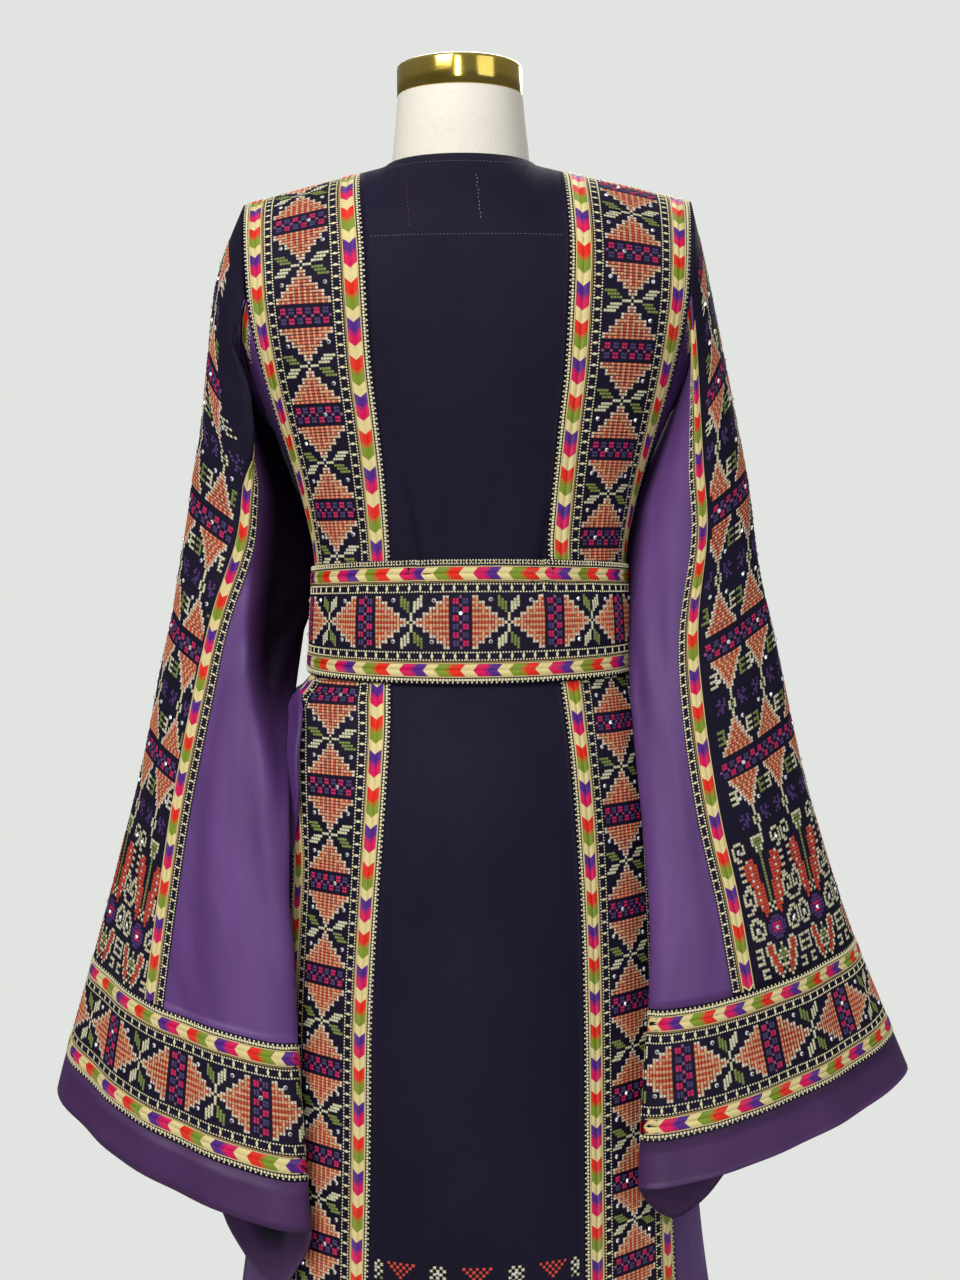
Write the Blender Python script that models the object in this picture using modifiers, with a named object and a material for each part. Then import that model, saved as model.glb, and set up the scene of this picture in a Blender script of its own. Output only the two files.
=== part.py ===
"""A floor-length Palestinian thobe on a limbless dress form.

Every cut piece of the dress is its own wall of cloth, and the pieces meet edge to edge at their
seams. Lengths are in metres and +Z is up. The origin is on the floor under the form's pole. The
back of the dress faces -Y, and left and right are those of a viewer who looks along +Y.
"""

from math import asin, cos, pi, radians, sin, sqrt

import bmesh
import bpy
from mathutils import Vector


class Table:
    """Rows of numbers under named columns, read between its rows on a smooth curve."""

    def __init__(self, columns, rows):
        self.names = columns.split()
        self.rows = rows

    def column(self, name):
        place = self.names.index(name)
        return [row[place] for row in self.rows]

    def read(self, name, at):
        keys = self.column(self.names[0])
        values = self.column(name)
        last = len(keys) - 1
        at = min(max(at, keys[0]), keys[last])
        low = max(i for i in range(last) if keys[i] <= at)
        high = low + 1
        span = keys[high] - keys[low]
        share = (at - keys[low]) / span

        def slope(i):
            before, after = max(i - 1, 0), min(i + 1, last)
            return (values[after] - values[before]) / (keys[after] - keys[before])

        rise = values[high] - values[low]
        curve_low = slope(low) * span - rise
        curve_high = rise - slope(high) * span
        bend = curve_low * (1 - share) + curve_high * share
        return values[low] + rise * share + share * (1 - share) * bend


# Driving dimensions of the cloth
CLOTH = 0.0020
TRIM_THICKNESS = 0.0012
BELT_THICKNESS = 0.0024
SEAM_GAP = 0.0004
TRIM_GAP = 0.0006
BELT_GAP = 0.0009
ARMHOLE_GAP = 0.0009

HEM_HEIGHT = 0.030
NECK_HEIGHT = 1.456
NECK_HALF_WIDTH = 0.066
NECK_BACK_RISE = 0.024
NECK_LEAN = -0.006
V_NECK_BOTTOM = 1.262
SHOULDER_TIP = 0.193
SHOULDER_FALL = 0.240
SHOULDER_ROUNDING = 0.100
APEX_HEIGHT = 1.335
UNDERARM_HEIGHT = 1.245
BUST_LINE = 1.195
BAND_WIDTH = 0.113
BELT_TOP = 1.117
BELT_MIDDLE = 1.064
BELT_BOTTOM = 1.012
BELT_OVERLAP = 0.060
TRIM_HALF_WIDTH = 0.010

# Sections of the dress: its half width and its depth behind and in front of the side seams, how
# square the section is, half the width of the centre panels, and how far they sit turned.
BODY = Table(
    "height half_width back front squareness panel turn",
    (
        (0.030, 0.2750, 0.245, 0.225, 1.85, 0.0940, 0.000),
        (0.300, 0.2380, 0.228, 0.210, 1.85, 0.0890, 0.000),
        (0.500, 0.2070, 0.212, 0.192, 1.82, 0.0870, 0.001),
        (0.640, 0.1940, 0.200, 0.178, 1.80, 0.0855, 0.003),
        (0.740, 0.1850, 0.188, 0.166, 1.80, 0.0850, 0.004),
        (0.835, 0.1760, 0.174, 0.155, 1.82, 0.0815, 0.006),
        (0.900, 0.1700, 0.160, 0.146, 1.85, 0.0775, 0.007),
        (0.950, 0.1630, 0.142, 0.132, 1.90, 0.0740, 0.007),
        (0.985, 0.1520, 0.122, 0.117, 2.00, 0.0715, 0.006),
        (1.012, 0.1425, 0.109, 0.107, 2.10, 0.0700, 0.004),
        (1.064, 0.1380, 0.104, 0.102, 2.20, 0.0660, 0.001),
        (1.117, 0.1365, 0.103, 0.102, 2.20, 0.0655, 0.000),
        (1.166, 0.1470, 0.106, 0.114, 2.20, 0.0680, 0.000),
        (1.198, 0.1580, 0.109, 0.124, 2.20, 0.0705, 0.000),
        (1.235, 0.1735, 0.112, 0.130, 2.20, 0.0743, 0.000),
        (1.273, 0.1916, 0.115, 0.130, 2.20, 0.0785, 0.000),
        (1.335, 0.2220, 0.117, 0.119, 2.20, 0.0820, 0.000),
        (1.400, 0.2350, 0.113, 0.103, 2.20, 0.0850, 0.000),
        (1.465, 0.2400, 0.108, 0.092, 2.20, 0.0870, 0.000),
    ),
)

# Rows of the body's cloth from the hem up to the apex of the side panel, and then the angles
# by which it turns over the shoulder.
LEVELS = (
    HEM_HEIGHT, 0.22, 0.42, 0.60, 0.75, 0.86, 0.92, 0.965, BELT_BOTTOM, BELT_MIDDLE, BELT_TOP,
    1.155, BUST_LINE, 1.240, 1.290, APEX_HEIGHT,
)
SHOULDER_TURNS = (68, 50, 36, 24, 12, 0)

# Columns across half a centre panel (the last but one is at the neck point) and a side panel
CENTRE_SHARES = (0.0, 0.25, 0.5, 0.66, 0.72, 0.76, 1.0)
BAND_STEPS = 4
SIDE_STEPS = 4

# Rows of the left sleeve below its head: its outer fold, its inner fold, the angle by which it
# faces away from the back, how far its back stands off the line between the folds, the share of
# that which its front keeps by the inner fold, how far its front droops, where the back seam
# lies from the outer fold on each sleeve, the width of the overarm, and how much higher the
# right sleeve's inner fold hangs and how much further out its outer fold stands.
SLEEVE = Table(
    "row outer_x outer_z inner_x inner_y inner_z turn swell front droop back_right back_left overarm"
    " lift flare",
    (
        (3, 0.231, 1.235, 0.1520, -0.022, 1.160, 14, 0.054, 0.90, 0.000, 0.101, 0.110, 0.180, 0.000, 0.000),
        (4, 0.242, 1.175, 0.1440, -0.038, 1.105, 23, 0.046, 0.72, 0.003, 0.103, 0.108, 0.186, 0.000, 0.000),
        (5, 0.252, 1.105, 0.1440, -0.058, 1.040, 31, 0.041, 0.50, 0.008, 0.126, 0.099, 0.205, 0.000, 0.000),
        (6, 0.267, 1.035, 0.1490, -0.080, 0.970, 35, 0.038, 0.40, 0.016, 0.142, 0.101, 0.228, 0.002, 0.000),
        (7, 0.285, 0.945, 0.1510, -0.104, 0.884, 37, 0.040, 0.36, 0.028, 0.158, 0.107, 0.252, 0.006, 0.000),
        (8, 0.307, 0.858, 0.1480, -0.124, 0.804, 37, 0.044, 0.35, 0.048, 0.171, 0.125, 0.272, 0.015, 0.000),
        (9, 0.331, 0.774, 0.1420, -0.142, 0.722, 37, 0.048, 0.35, 0.068, 0.190, 0.146, 0.296, 0.026, 0.002),
        (10, 0.358, 0.688, 0.1330, -0.160, 0.613, 36, 0.052, 0.35, 0.066, 0.212, 0.168, 0.318, 0.031, 0.010),
        (11, 0.367, 0.655, 0.1310, -0.167, 0.574, 36, 0.054, 0.35, 0.066, 0.220, 0.176, 0.326, 0.034, 0.014),
    ),
)
# Rows of the sleeve head: how far each lies from the armhole to the first row above, and how far
# it bulges out at the shoulder.
SLEEVE_HEAD = Table("row share bulge", ((1, 0.30, 0.012), (2, 0.64, 0.007)))
CUFF_TOP_ROW = 9
CUFF_HEM_ROW = 10
SLEEVE_HEM_ROW = 11
DROOP_ANGLE = pi + 0.9
DROOP_SPREAD = 1.3
OVERARM_STEPS = 4
GORE_STEPS = 8
LOOP_STEP = 0.006

# The dress form
FORM_DROP = 0.0035
FORM_FOOT = 0.820
FORM_COLUMNS = 28
FORM = Table(
    "height half_width back front squareness",
    (
        (0.820, 0.1350, 0.100, 0.092, 2.2),
        (0.900, 0.1500, 0.115, 0.104, 2.2),
        (0.950, 0.1460, 0.112, 0.100, 2.2),
        (1.010, 0.1320, 0.098, 0.096, 2.2),
        (1.070, 0.1270, 0.094, 0.092, 2.2),
        (1.130, 0.1290, 0.094, 0.095, 2.2),
        (1.180, 0.1400, 0.098, 0.110, 2.2),
        (1.235, 0.1540, 0.104, 0.121, 2.2),
        (1.290, 0.1620, 0.109, 0.118, 2.3),
        (1.340, 0.1670, 0.109, 0.108, 2.4),
        (1.390, 0.1720, 0.107, 0.098, 2.5),
        (1.420, 0.1760, 0.102, 0.082, 2.6),
        (1.465, 0.1900, 0.094, 0.066, 2.6),
    ),
)
FORM_LEVELS = (
    FORM_FOOT, 0.86, 0.90, 0.95, 1.01, 1.07, 1.13, 1.18, 1.235, 1.29, 1.335, 1.365, 1.39,
    1.405, 1.416, 1.425, 1.433, 1.440, 1.446,
)
NECK = Table(
    "height half_width depth",
    (
        (1.4505, 0.0605, 0.0600),
        (1.466, 0.0595, 0.0590),
        (1.490, 0.0570, 0.0580),
        (1.5174, 0.0545, 0.0545),
    ),
)
CAP_RADIUS = 0.0545
CAP_BOTTOM = 1.5177
CAP_HEIGHT = 0.026
CAP_DOME = 0.004
CAP_EDGE = 0.003
POLE_RADIUS = 0.016
BASE_RADIUS = 0.170
BASE_HEIGHT = 0.014
BASE_BEVEL = 0.003

MATERIALS = {
    "navy_crepe": ((0.020, 0.017, 0.036), 0.85, 0.0),
    "embroidered_navy": ((0.150, 0.070, 0.080), 0.80, 0.0),
    "purple_satin": ((0.105, 0.055, 0.210), 0.45, 0.0),
    "linen": ((0.830, 0.780, 0.700), 0.90, 0.0),
    "gold": ((0.600, 0.400, 0.080), 0.20, 1.0),
    "dark_steel": ((0.060, 0.060, 0.065), 0.50, 0.8),
}
BACK, FRONT = -1, 1
SIDES = {"left": -1, "right": 1}


# The surface of the body's cloth

def shoulder_height(x):
    """The height of the shoulder line, or of the neck that rises inside it."""
    if abs(x) >= NECK_HALF_WIDTH:
        return NECK_HEIGHT - SHOULDER_FALL * (abs(x) - NECK_HALF_WIDTH)
    return NECK_HEIGHT + NECK_BACK_RISE * (1 - (x / NECK_HALF_WIDTH) ** 2)


def rounding(drop):
    """How far the cloth has turned over the shoulder at this drop below its line, 0 to 1."""
    share = min(max(drop / SHOULDER_ROUNDING, 0), 1)
    return sqrt(share * (2 - share))


def body_depth(facing, height):
    return BODY.read("back" if facing == BACK else "front", height)


def body_point(facing, angle, height):
    """A point by the angle round its section, from 0 at the centre to pi/2 at the side seam."""
    power = 2 / BODY.read("squareness", height)
    side = 1 if angle >= 0 else -1
    x = side * BODY.read("half_width", height) * abs(sin(angle)) ** power
    y = facing * body_depth(facing, height) * max(cos(angle), 0) ** power
    return Vector((x, y * rounding(shoulder_height(x) - height), height))


def angle_at(x, height):
    """The angle round the section where the cloth is this far from the centre."""
    share = min(abs(x) / BODY.read("half_width", height), 1)
    return (1 if x >= 0 else -1) * asin(share ** (BODY.read("squareness", height) / 2))


def body_normal(facing, point):
    """The direction that faces out of the cloth."""
    def outside(x, y, z):
        power = BODY.read("squareness", z)
        across = (abs(x) / BODY.read("half_width", z)) ** power
        deep = abs(y) / body_depth(facing, z)
        drop = shoulder_height(x) - z
        if drop >= SHOULDER_ROUNDING:
            return deep ** power + across
        turned = rounding(drop) ** 2
        return deep ** 2 - (1 - across) ** (2 / power) * turned

    x, y, z = point
    step = 1e-5
    return Vector((
        outside(x + step, y, z) - outside(x - step, y, z),
        outside(x, y + step, z) - outside(x, y - step, z),
        outside(x, y, z + step) - outside(x, y, z - step),
    )).normalized()


def lean(point):
    """The neck stands a little to one side of the shoulders."""
    share = min(max((point.z - 1.36) / 0.1, 0), 1)
    centred = max(1 - (point.x / SHOULDER_TIP) ** 2, 0)
    shift = NECK_LEAN * share * share * (3 - 2 * share) * centred
    return Vector((point.x + shift, point.y, point.z))


def panel_edge(facing, side, height):
    """Where the centre panel meets a band."""
    return side * BODY.read("panel", height) - facing * BODY.read("turn", height)


def band_edge(facing, side, height):
    """Where the band ends, its width along the cloth from the centre panel."""
    if height > APEX_HEIGHT:
        share = (height - APEX_HEIGHT) / (shoulder_height(SHOULDER_TIP) - APEX_HEIGHT)
        lower = band_edge(facing, side, APEX_HEIGHT)
        return lower + (side * SHOULDER_TIP - lower) * min(share, 1)
    angle = angle_at(panel_edge(facing, side, height), height)
    here = body_point(facing, angle, height)
    width = 0.0
    step = side * radians(0.25)
    while width < BAND_WIDTH and abs(angle + step) < pi / 2:
        angle += step
        before, here = here, body_point(facing, angle, height)
        width += (here - before).length
    return here.x


def turned_level(row, top):
    """The height of a row above the side panel's apex, at a column whose shoulder is at top."""
    return top - (top - APEX_HEIGHT) * (1 - cos(radians(SHOULDER_TURNS[row])))


def stretched(height, base, edge_top, top):
    """A row's height in a column that ends at top, where the row's edge column ends at edge_top."""
    if height <= base:
        return height
    return base + (height - base) * (top - base) / (edge_top - base)


class Node:
    """A point of a cloth grid with the direction that faces out of it."""

    def __init__(self, point, normal):
        self.point = point
        self.normal = normal

    def between(self, other, share):
        point = self.point.lerp(other.point, share)
        return Node(point, self.normal.lerp(other.normal, share).normalized())


def body_node(facing, x, height, angle=None):
    if angle is None:
        angle = angle_at(x, height)
    point = body_point(facing, angle, height)
    return Node(lean(point), body_normal(facing, point))


def band_node(facing, side, share, row):
    """A node of a band: share is 0 at the centre panel and 1 at the armhole or side panel."""
    if row < len(LEVELS):
        height = LEVELS[row]
        inner = angle_at(panel_edge(facing, side, height), height)
        outer = angle_at(band_edge(facing, side, height), height)
        return body_node(facing, 0, height, inner + (outer - inner) * share)
    turn = row - len(LEVELS)
    nominal = turned_level(turn, shoulder_height(SHOULDER_TIP))
    inner = panel_edge(facing, side, nominal)
    outer = band_edge(facing, side, nominal)
    x = inner + (outer - inner) * share
    return body_node(facing, x, turned_level(turn, shoulder_height(x)))


def centre_node(facing, side, share, row):
    """A node of a centre panel: share is 0 on its centre line and 1 at the band."""
    edge = band_node(facing, side, 0, row)
    if share == 1:
        return edge
    height = edge.point.z
    base = APEX_HEIGHT if facing == BACK else BUST_LINE
    middle = -facing * BODY.read("turn", height)
    edge_x = panel_edge(facing, side, height)
    x = middle + (edge_x - middle) * share
    top = min(shoulder_height(x), NECK_HEIGHT)
    if facing == FRONT and share < CENTRE_SHARES[-2]:
        top = V_NECK_BOTTOM + (NECK_HEIGHT - V_NECK_BOTTOM) * share / CENTRE_SHARES[-2]
    return body_node(facing, x, stretched(height, base, shoulder_height(edge_x), top))


def side_node(facing, side, share, row):
    """A node of a side panel: share is 0 at the band and 1 at the side seam."""
    edge_height = LEVELS[row]
    top = UNDERARM_HEIGHT + (APEX_HEIGHT - UNDERARM_HEIGHT) * (1 - sin(share * pi / 2))
    height = stretched(edge_height, BUST_LINE, APEX_HEIGHT, top)
    inner = angle_at(band_edge(facing, side, height), height)
    return body_node(facing, 0, height, inner + (side * pi / 2 - inner) * share)


# Walls of cloth

def inset(grid, closed):
    """Moves the grid's free edges in by half a seam gap, so that the next piece clears them."""
    def pull(node, inner):
        way = inner.point - node.point
        node.point = node.point + way.normalized() * SEAM_GAP / 2

    if not closed:
        for row in grid:
            pull(row[0], row[1])
            pull(row[-1], row[-2])
    for edge, inner in ((grid[0], grid[1]), (grid[-1], grid[-2])):
        for node, neighbour in zip(edge, inner):
            pull(node, neighbour)
    return grid


def moved_out(grid, distance):
    return [[Node(node.point + node.normal * distance, node.normal) for node in row] for row in grid]


def split(work, corners, along_first):
    """A four-sided patch as two triangles, along the diagonal from its first or second corner."""
    a, b, c, d = corners
    if along_first:
        work.faces.new((a, b, c))
        work.faces.new((a, c, d))
    else:
        work.faces.new((b, c, d))
        work.faces.new((b, d, a))


def wall(name, grid, thickness, material, closed=False):
    """A closed wall of cloth between the grid and the same grid moved in by the thickness.

    Each patch folds along its outer diagonal, as the patches of the pieces over and beside it do.
    """
    rows, columns = len(grid), len(grid[0])
    mesh = bpy.data.meshes.new(name)
    work = bmesh.new()
    outer = [[work.verts.new(node.point) for node in row] for row in grid]
    inner = [
        [work.verts.new(node.point - node.normal * thickness) for node in row] for row in grid
    ]
    spans = columns if closed else columns - 1
    for row in range(rows - 1):
        for column in range(spans):
            after = (column + 1) % columns
            places = ((row, column), (row, after), (row + 1, after), (row + 1, column))
            first, second, third, fourth = (grid[r][c].point for r, c in places)
            outward = sum((grid[r][c].normal for r, c in places), Vector())
            along_first = (first + third - second - fourth).dot(outward) > 0
            for layer in (outer, inner):
                split(work, [layer[r][c] for r, c in places], along_first)
    for row in (0, rows - 1):
        for column in range(spans):
            after = (column + 1) % columns
            edge = (outer[row][column], outer[row][after], inner[row][after], inner[row][column])
            split(work, edge, True)
    if not closed:
        for column in (0, columns - 1):
            for row in range(rows - 1):
                low, high = (outer[row][column], inner[row][column]), (
                    outer[row + 1][column], inner[row + 1][column]
                )
                split(work, (low[0], high[0], high[1], low[1]), True)
    return finished(work, mesh, material)


def loft(name, rings, material):
    """A solid between rings of points, with a flat face at each end."""
    mesh = bpy.data.meshes.new(name)
    work = bmesh.new()
    loops = [[work.verts.new(point) for point in ring] for ring in rings]
    count = len(rings[0])
    for lower, upper in zip(loops, loops[1:]):
        for column in range(count):
            after = (column + 1) % count
            work.faces.new((lower[column], lower[after], upper[after], upper[column]))
    work.faces.new(loops[0])
    work.faces.new(loops[-1])
    return finished(work, mesh, material)


def finished(work, mesh, material):
    bmesh.ops.recalc_face_normals(work, faces=work.faces)
    work.to_mesh(mesh)
    work.free()
    mesh.shade_smooth()
    mesh.set_sharp_from_angle(angle=radians(50))
    mesh.materials.append(material)
    part = bpy.data.objects.new(mesh.name, mesh)
    dress.objects.link(part)
    return part


# Pieces of the body

def build_centre_panel(name, facing):
    grid = []
    for row in range(len(LEVELS) + len(SHOULDER_TURNS)):
        halves = {
            side: [centre_node(facing, side, share, row) for share in CENTRE_SHARES]
            for side in SIDES.values()
        }
        grid.append(halves[-1][:0:-1] + halves[1])
    wall(name, inset(grid, False), CLOTH, navy_crepe)


def build_band(name, facing, side):
    grid = []
    for row in range(len(LEVELS) + len(SHOULDER_TURNS)):
        shares = [step / BAND_STEPS for step in range(BAND_STEPS + 1)]
        grid.append([band_node(facing, side, share, row) for share in shares])
    wall(name, inset(grid, False), CLOTH, embroidered_navy)


def side_grid(side):
    """The side panel's rows, each from the back band round the side to the front band."""
    grid = []
    for row in range(len(LEVELS)):
        shares = [step / SIDE_STEPS for step in range(SIDE_STEPS + 1)]
        behind = [side_node(BACK, side, share, row) for share in shares]
        before = [side_node(FRONT, side, share, row) for share in shares[-2::-1]]
        grid.append(behind + before)
    return grid


# Pieces of the sleeves

class Loop:
    """A closed run of points round a sleeve, read by its length back from the outer fold."""

    def __init__(self, points):
        self.points = points + points[:1]
        self.lengths = [0.0]
        for before, after in zip(self.points, self.points[1:]):
            self.lengths.append(self.lengths[-1] + (after - before).length)
        self.girth = self.lengths[-1]

    def at(self, length):
        length %= self.girth
        for place, end in enumerate(self.lengths[1:]):
            if end >= length:
                start = self.lengths[place]
                share = (length - start) / (end - start)
                return self.points[place].lerp(self.points[place + 1], share)
        return self.points[0]

    def along(self, length):
        """The direction of the loop at this length."""
        return self.at(length + LOOP_STEP) - self.at(length - LOOP_STEP)


def armhole(side):
    """The edge of the body that the sleeve is sewn to: its loop and its back and front seams."""
    def edge(facing):
        rows = range(len(LEVELS) + len(SHOULDER_TURNS) - 1, len(LEVELS) - 2, -1)
        band = [band_node(facing, side, 1, row).point for row in rows]
        shares = [step / SIDE_STEPS for step in range(1, SIDE_STEPS + 1)]
        under = [side_node(facing, side, share, len(LEVELS) - 1).point for share in shares]
        seam = sum((after - before).length for before, after in zip(band, band[1:]))
        return band + under, seam

    behind, seam_behind = edge(BACK)
    before, seam_before = edge(FRONT)
    return Loop(behind + before[-2:0:-1]), seam_behind, seam_before


def sleeve_loop(side, row):
    """A row of the sleeve, a flattened ring between its outer and inner folds."""
    def value(name):
        return SLEEVE.read(name, row)

    outer = Vector((value("outer_x"), 0.0, value("outer_z")))
    inner = Vector((value("inner_x"), value("inner_y"), value("inner_z")))
    centre = (outer + inner) / 2
    reach = (outer - inner) / 2
    turn = radians(value("turn"))
    behind = Vector((sin(turn), -cos(turn), 0))
    lift = value("lift") if side == SIDES["right"] else 0
    flare = value("flare") if side == SIDES["right"] else 0
    points = []
    for step in range(96):
        angle = 2 * pi * step / 96
        swell = value("swell") * sin(angle)
        if angle > pi:
            swell *= value("front") + (1 - value("front")) * (1 + cos(angle)) / 2
        off_droop = abs(angle - DROOP_ANGLE) / DROOP_SPREAD
        droop = value("droop") * cos(off_droop * pi / 2) ** 2 if off_droop < 1 else 0
        shift = Vector((flare * (1 + cos(angle)) / 2, 0, lift * (2 - cos(angle)) / 3 - droop))
        point = centre + reach * cos(angle) + behind * swell + shift
        points.append(Vector((side * point.x, point.y, point.z)))
    return Loop(points)


def spread(start, width, steps):
    """Lengths across a piece from seam to seam, with a column under each edge of its trim."""
    inside = [
        start + TRIM_HALF_WIDTH + (width - 2 * TRIM_HALF_WIDTH) * step / steps
        for step in range(steps + 1)
    ]
    return [start] + inside + [start + width]


def corners(loop, start, width):
    """Lengths across the gore at the armhole, one at each corner of the side panels' edge."""
    end = start + width
    lengths = [length for length in loop.lengths if start + SEAM_GAP < length < end - SEAM_GAP]
    return [start, start + TRIM_HALF_WIDTH] + lengths + [end - TRIM_HALF_WIDTH, end]


def sleeve_grid(name, side):
    """The whole sleeve, a row for each loop: the overarm's columns and then the gore's."""
    rows = []
    for row in (0, *SLEEVE.column("row")):
        if row == 0:
            loop, seam_behind, seam_before = armhole(side)
            width = seam_behind + seam_before
        else:
            loop = sleeve_loop(side, row)
            seam_behind = SLEEVE.read("back_" + name, row)
            width = SLEEVE.read("overarm", row)
            seam_before = width - seam_behind
        gore = loop.girth - width
        lengths = spread(-seam_before, width, OVERARM_STEPS)
        if row == 0:
            lengths += corners(loop, seam_behind, gore)[1:-1]
        else:
            lengths += spread(seam_behind, gore, GORE_STEPS)[1:-1]
        rows.append([(loop.at(length), loop.along(length)) for length in lengths])
    rows[1:1] = [head_row(rows[0], rows[1], row, side) for row in SLEEVE_HEAD.column("row")]
    grid = [
        [sleeve_node(rows, row, column, side) for column in range(len(rows[0]))]
        for row in range(len(rows))
    ]
    return [grid[0]] + [[evened(grid, row, column) for column in range(len(grid[0]))]
                        for row in range(1, len(grid))]


def head_row(armhole_row, first_row, row, side):
    """A row between the armhole and the first row below the head."""
    share, bulge = SLEEVE_HEAD.read("share", row), SLEEVE_HEAD.read("bulge", row)
    line = []
    for (start, start_way), (end, end_way) in zip(armhole_row, first_row):
        raised = (start.z - UNDERARM_HEIGHT) / (APEX_HEIGHT - UNDERARM_HEIGHT)
        out = Vector((side * bulge * min(max(raised, 0), 1), 0, 0))
        line.append((start.lerp(end, share) + out, start_way.lerp(end_way, share)))
    return line


def sleeve_node(rows, row, column, side):
    point, round_it = rows[row][column]
    if row == 0:
        out_of_body = Vector((side, 0, 0))
        normal = round_it.cross(out_of_body) * side
        return Node(point + out_of_body * ARMHOLE_GAP, normal.normalized())
    above = rows[row - 1][column][0]
    below = rows[min(row + 1, len(rows) - 1)][column][0]
    return Node(point, (round_it.cross(below - above) * side).normalized())


def evened(grid, row, column):
    """The node with its direction averaged with those round it."""
    near = [grid[row][(column + offset) % len(grid[0])].normal for offset in (-1, 0, 0, 1)]
    return Node(grid[row][column].point, sum(near, Vector()).normalized())


def copied(grid, rows, columns):
    return [[Node(grid[r][c].point.copy(), grid[r][c].normal.copy()) for c in columns] for r in rows]


def build_sleeve(name, side):
    grid = sleeve_grid(name, side)
    count = len(grid[0])
    overarm = list(range(OVERARM_STEPS + 3))
    gore = list(range(OVERARM_STEPS + 2, count)) + [0]
    above_cuff = range(CUFF_TOP_ROW + 1)
    whole = range(count)
    for piece, columns, material in (
        ("sleeve_overarm_", overarm, embroidered_navy),
        ("sleeve_gore_", gore, purple_satin),
    ):
        wall(piece + name, inset(copied(grid, above_cuff, columns), False), CLOTH, material)
    for piece, first, last, material in (
        ("sleeve_cuff_band_", CUFF_TOP_ROW, CUFF_HEM_ROW, embroidered_navy),
        ("sleeve_cuff_hem_", CUFF_HEM_ROW, SLEEVE_HEM_ROW, purple_satin),
    ):
        rows = copied(grid, range(first, last + 1), whole)
        wall(piece + name, inset(rows, True), CLOTH, material, closed=True)
    for piece, seam in (("sleeve_trim_back_", OVERARM_STEPS + 2), ("sleeve_trim_front_", 0)):
        columns = [(seam + offset) % count for offset in (-1, 0, 1)]
        strip = moved_out(copied(grid, range(1, CUFF_TOP_ROW + 1), columns), TRIM_GAP + TRIM_THICKNESS)
        wall(piece + name, inset(strip, False), TRIM_THICKNESS, embroidered_navy)


# The belt

def belt_edge(angle):
    """How much of its height the belt keeps at this angle from the centre back."""
    return 0.86 + 0.14 * cos(angle)


def build_belt():
    """A strip round the waist whose end laps over its start at the front."""
    rows = [LEVELS.index(height) for height in (BELT_BOTTOM, BELT_MIDDLE, BELT_TOP)]

    def ring(row):
        def half(facing, side):
            shares = [step / BAND_STEPS for step in range(BAND_STEPS)]
            sides = [step / SIDE_STEPS for step in range(SIDE_STEPS)]
            nodes = [centre_node(facing, side, share, row) for share in CENTRE_SHARES[:-1]]
            nodes += [band_node(facing, side, share, row) for share in shares]
            return nodes + [side_node(facing, side, share, row) for share in sides]

        seam = {side: side_node(BACK, side, 1, row) for side in SIDES.values()}
        right = half(FRONT, 1) + [seam[1]] + half(BACK, 1)[::-1]
        left = half(BACK, -1)[1:] + [seam[-1]] + half(FRONT, -1)[::-1]
        return right + left

    bottom, middle, top = (ring(row) for row in rows)
    count = len(middle)
    lap = 0
    while (middle[lap].point - middle[0].point).length < BELT_OVERLAP:
        lap += 1
    order = list(range(count)) + list(range(1, lap + 1))
    grid = [[], [], []]
    for place, column in enumerate(order):
        angle = abs(pi - 2 * pi * column / (count - 1))
        raised = min(max((place - (count - 4)) / 3, 0), 1)
        off = BELT_GAP + BELT_THICKNESS + raised * (BELT_THICKNESS + BELT_GAP)
        kept = belt_edge(angle)
        nodes = (
            middle[column].between(bottom[column], kept),
            middle[column],
            middle[column].between(top[column], kept),
        )
        for line, node in zip(grid, nodes):
            line.append(Node(node.point + node.normal * off, node.normal))
    wall("belt", inset(grid, False), BELT_THICKNESS, embroidered_navy)


# The dress form

def form_ring(height):
    """A section of the torso, which narrows to the neck above the shoulder line."""
    half = FORM.read("half_width", height)
    reach = half
    while shoulder_height(reach) - FORM_DROP < height:
        reach -= 0.0002
    power = FORM.read("squareness", height)
    ring = []
    for column in range(FORM_COLUMNS):
        angle = 2 * pi * column / FORM_COLUMNS
        side = 1 if sin(angle) >= 0 else -1
        x = side * reach * abs(sin(angle)) ** (2 / power)
        facing = BACK if cos(angle) >= 0 else FRONT
        depth = FORM.read("back" if facing == BACK else "front", height)
        lateral = max(1 - (abs(x) / half) ** power, 0) ** (1 / power)
        turned = rounding(shoulder_height(x) - FORM_DROP - height)
        ring.append(lean(Vector((x, facing * depth * lateral * turned, height))))
    return ring


def neck_ring(height):
    half, depth = NECK.read("half_width", height), NECK.read("depth", height)
    angles = [2 * pi * column / FORM_COLUMNS for column in range(FORM_COLUMNS)]
    return [lean(Vector((half * sin(a), -depth * cos(a), height))) for a in angles]


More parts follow.
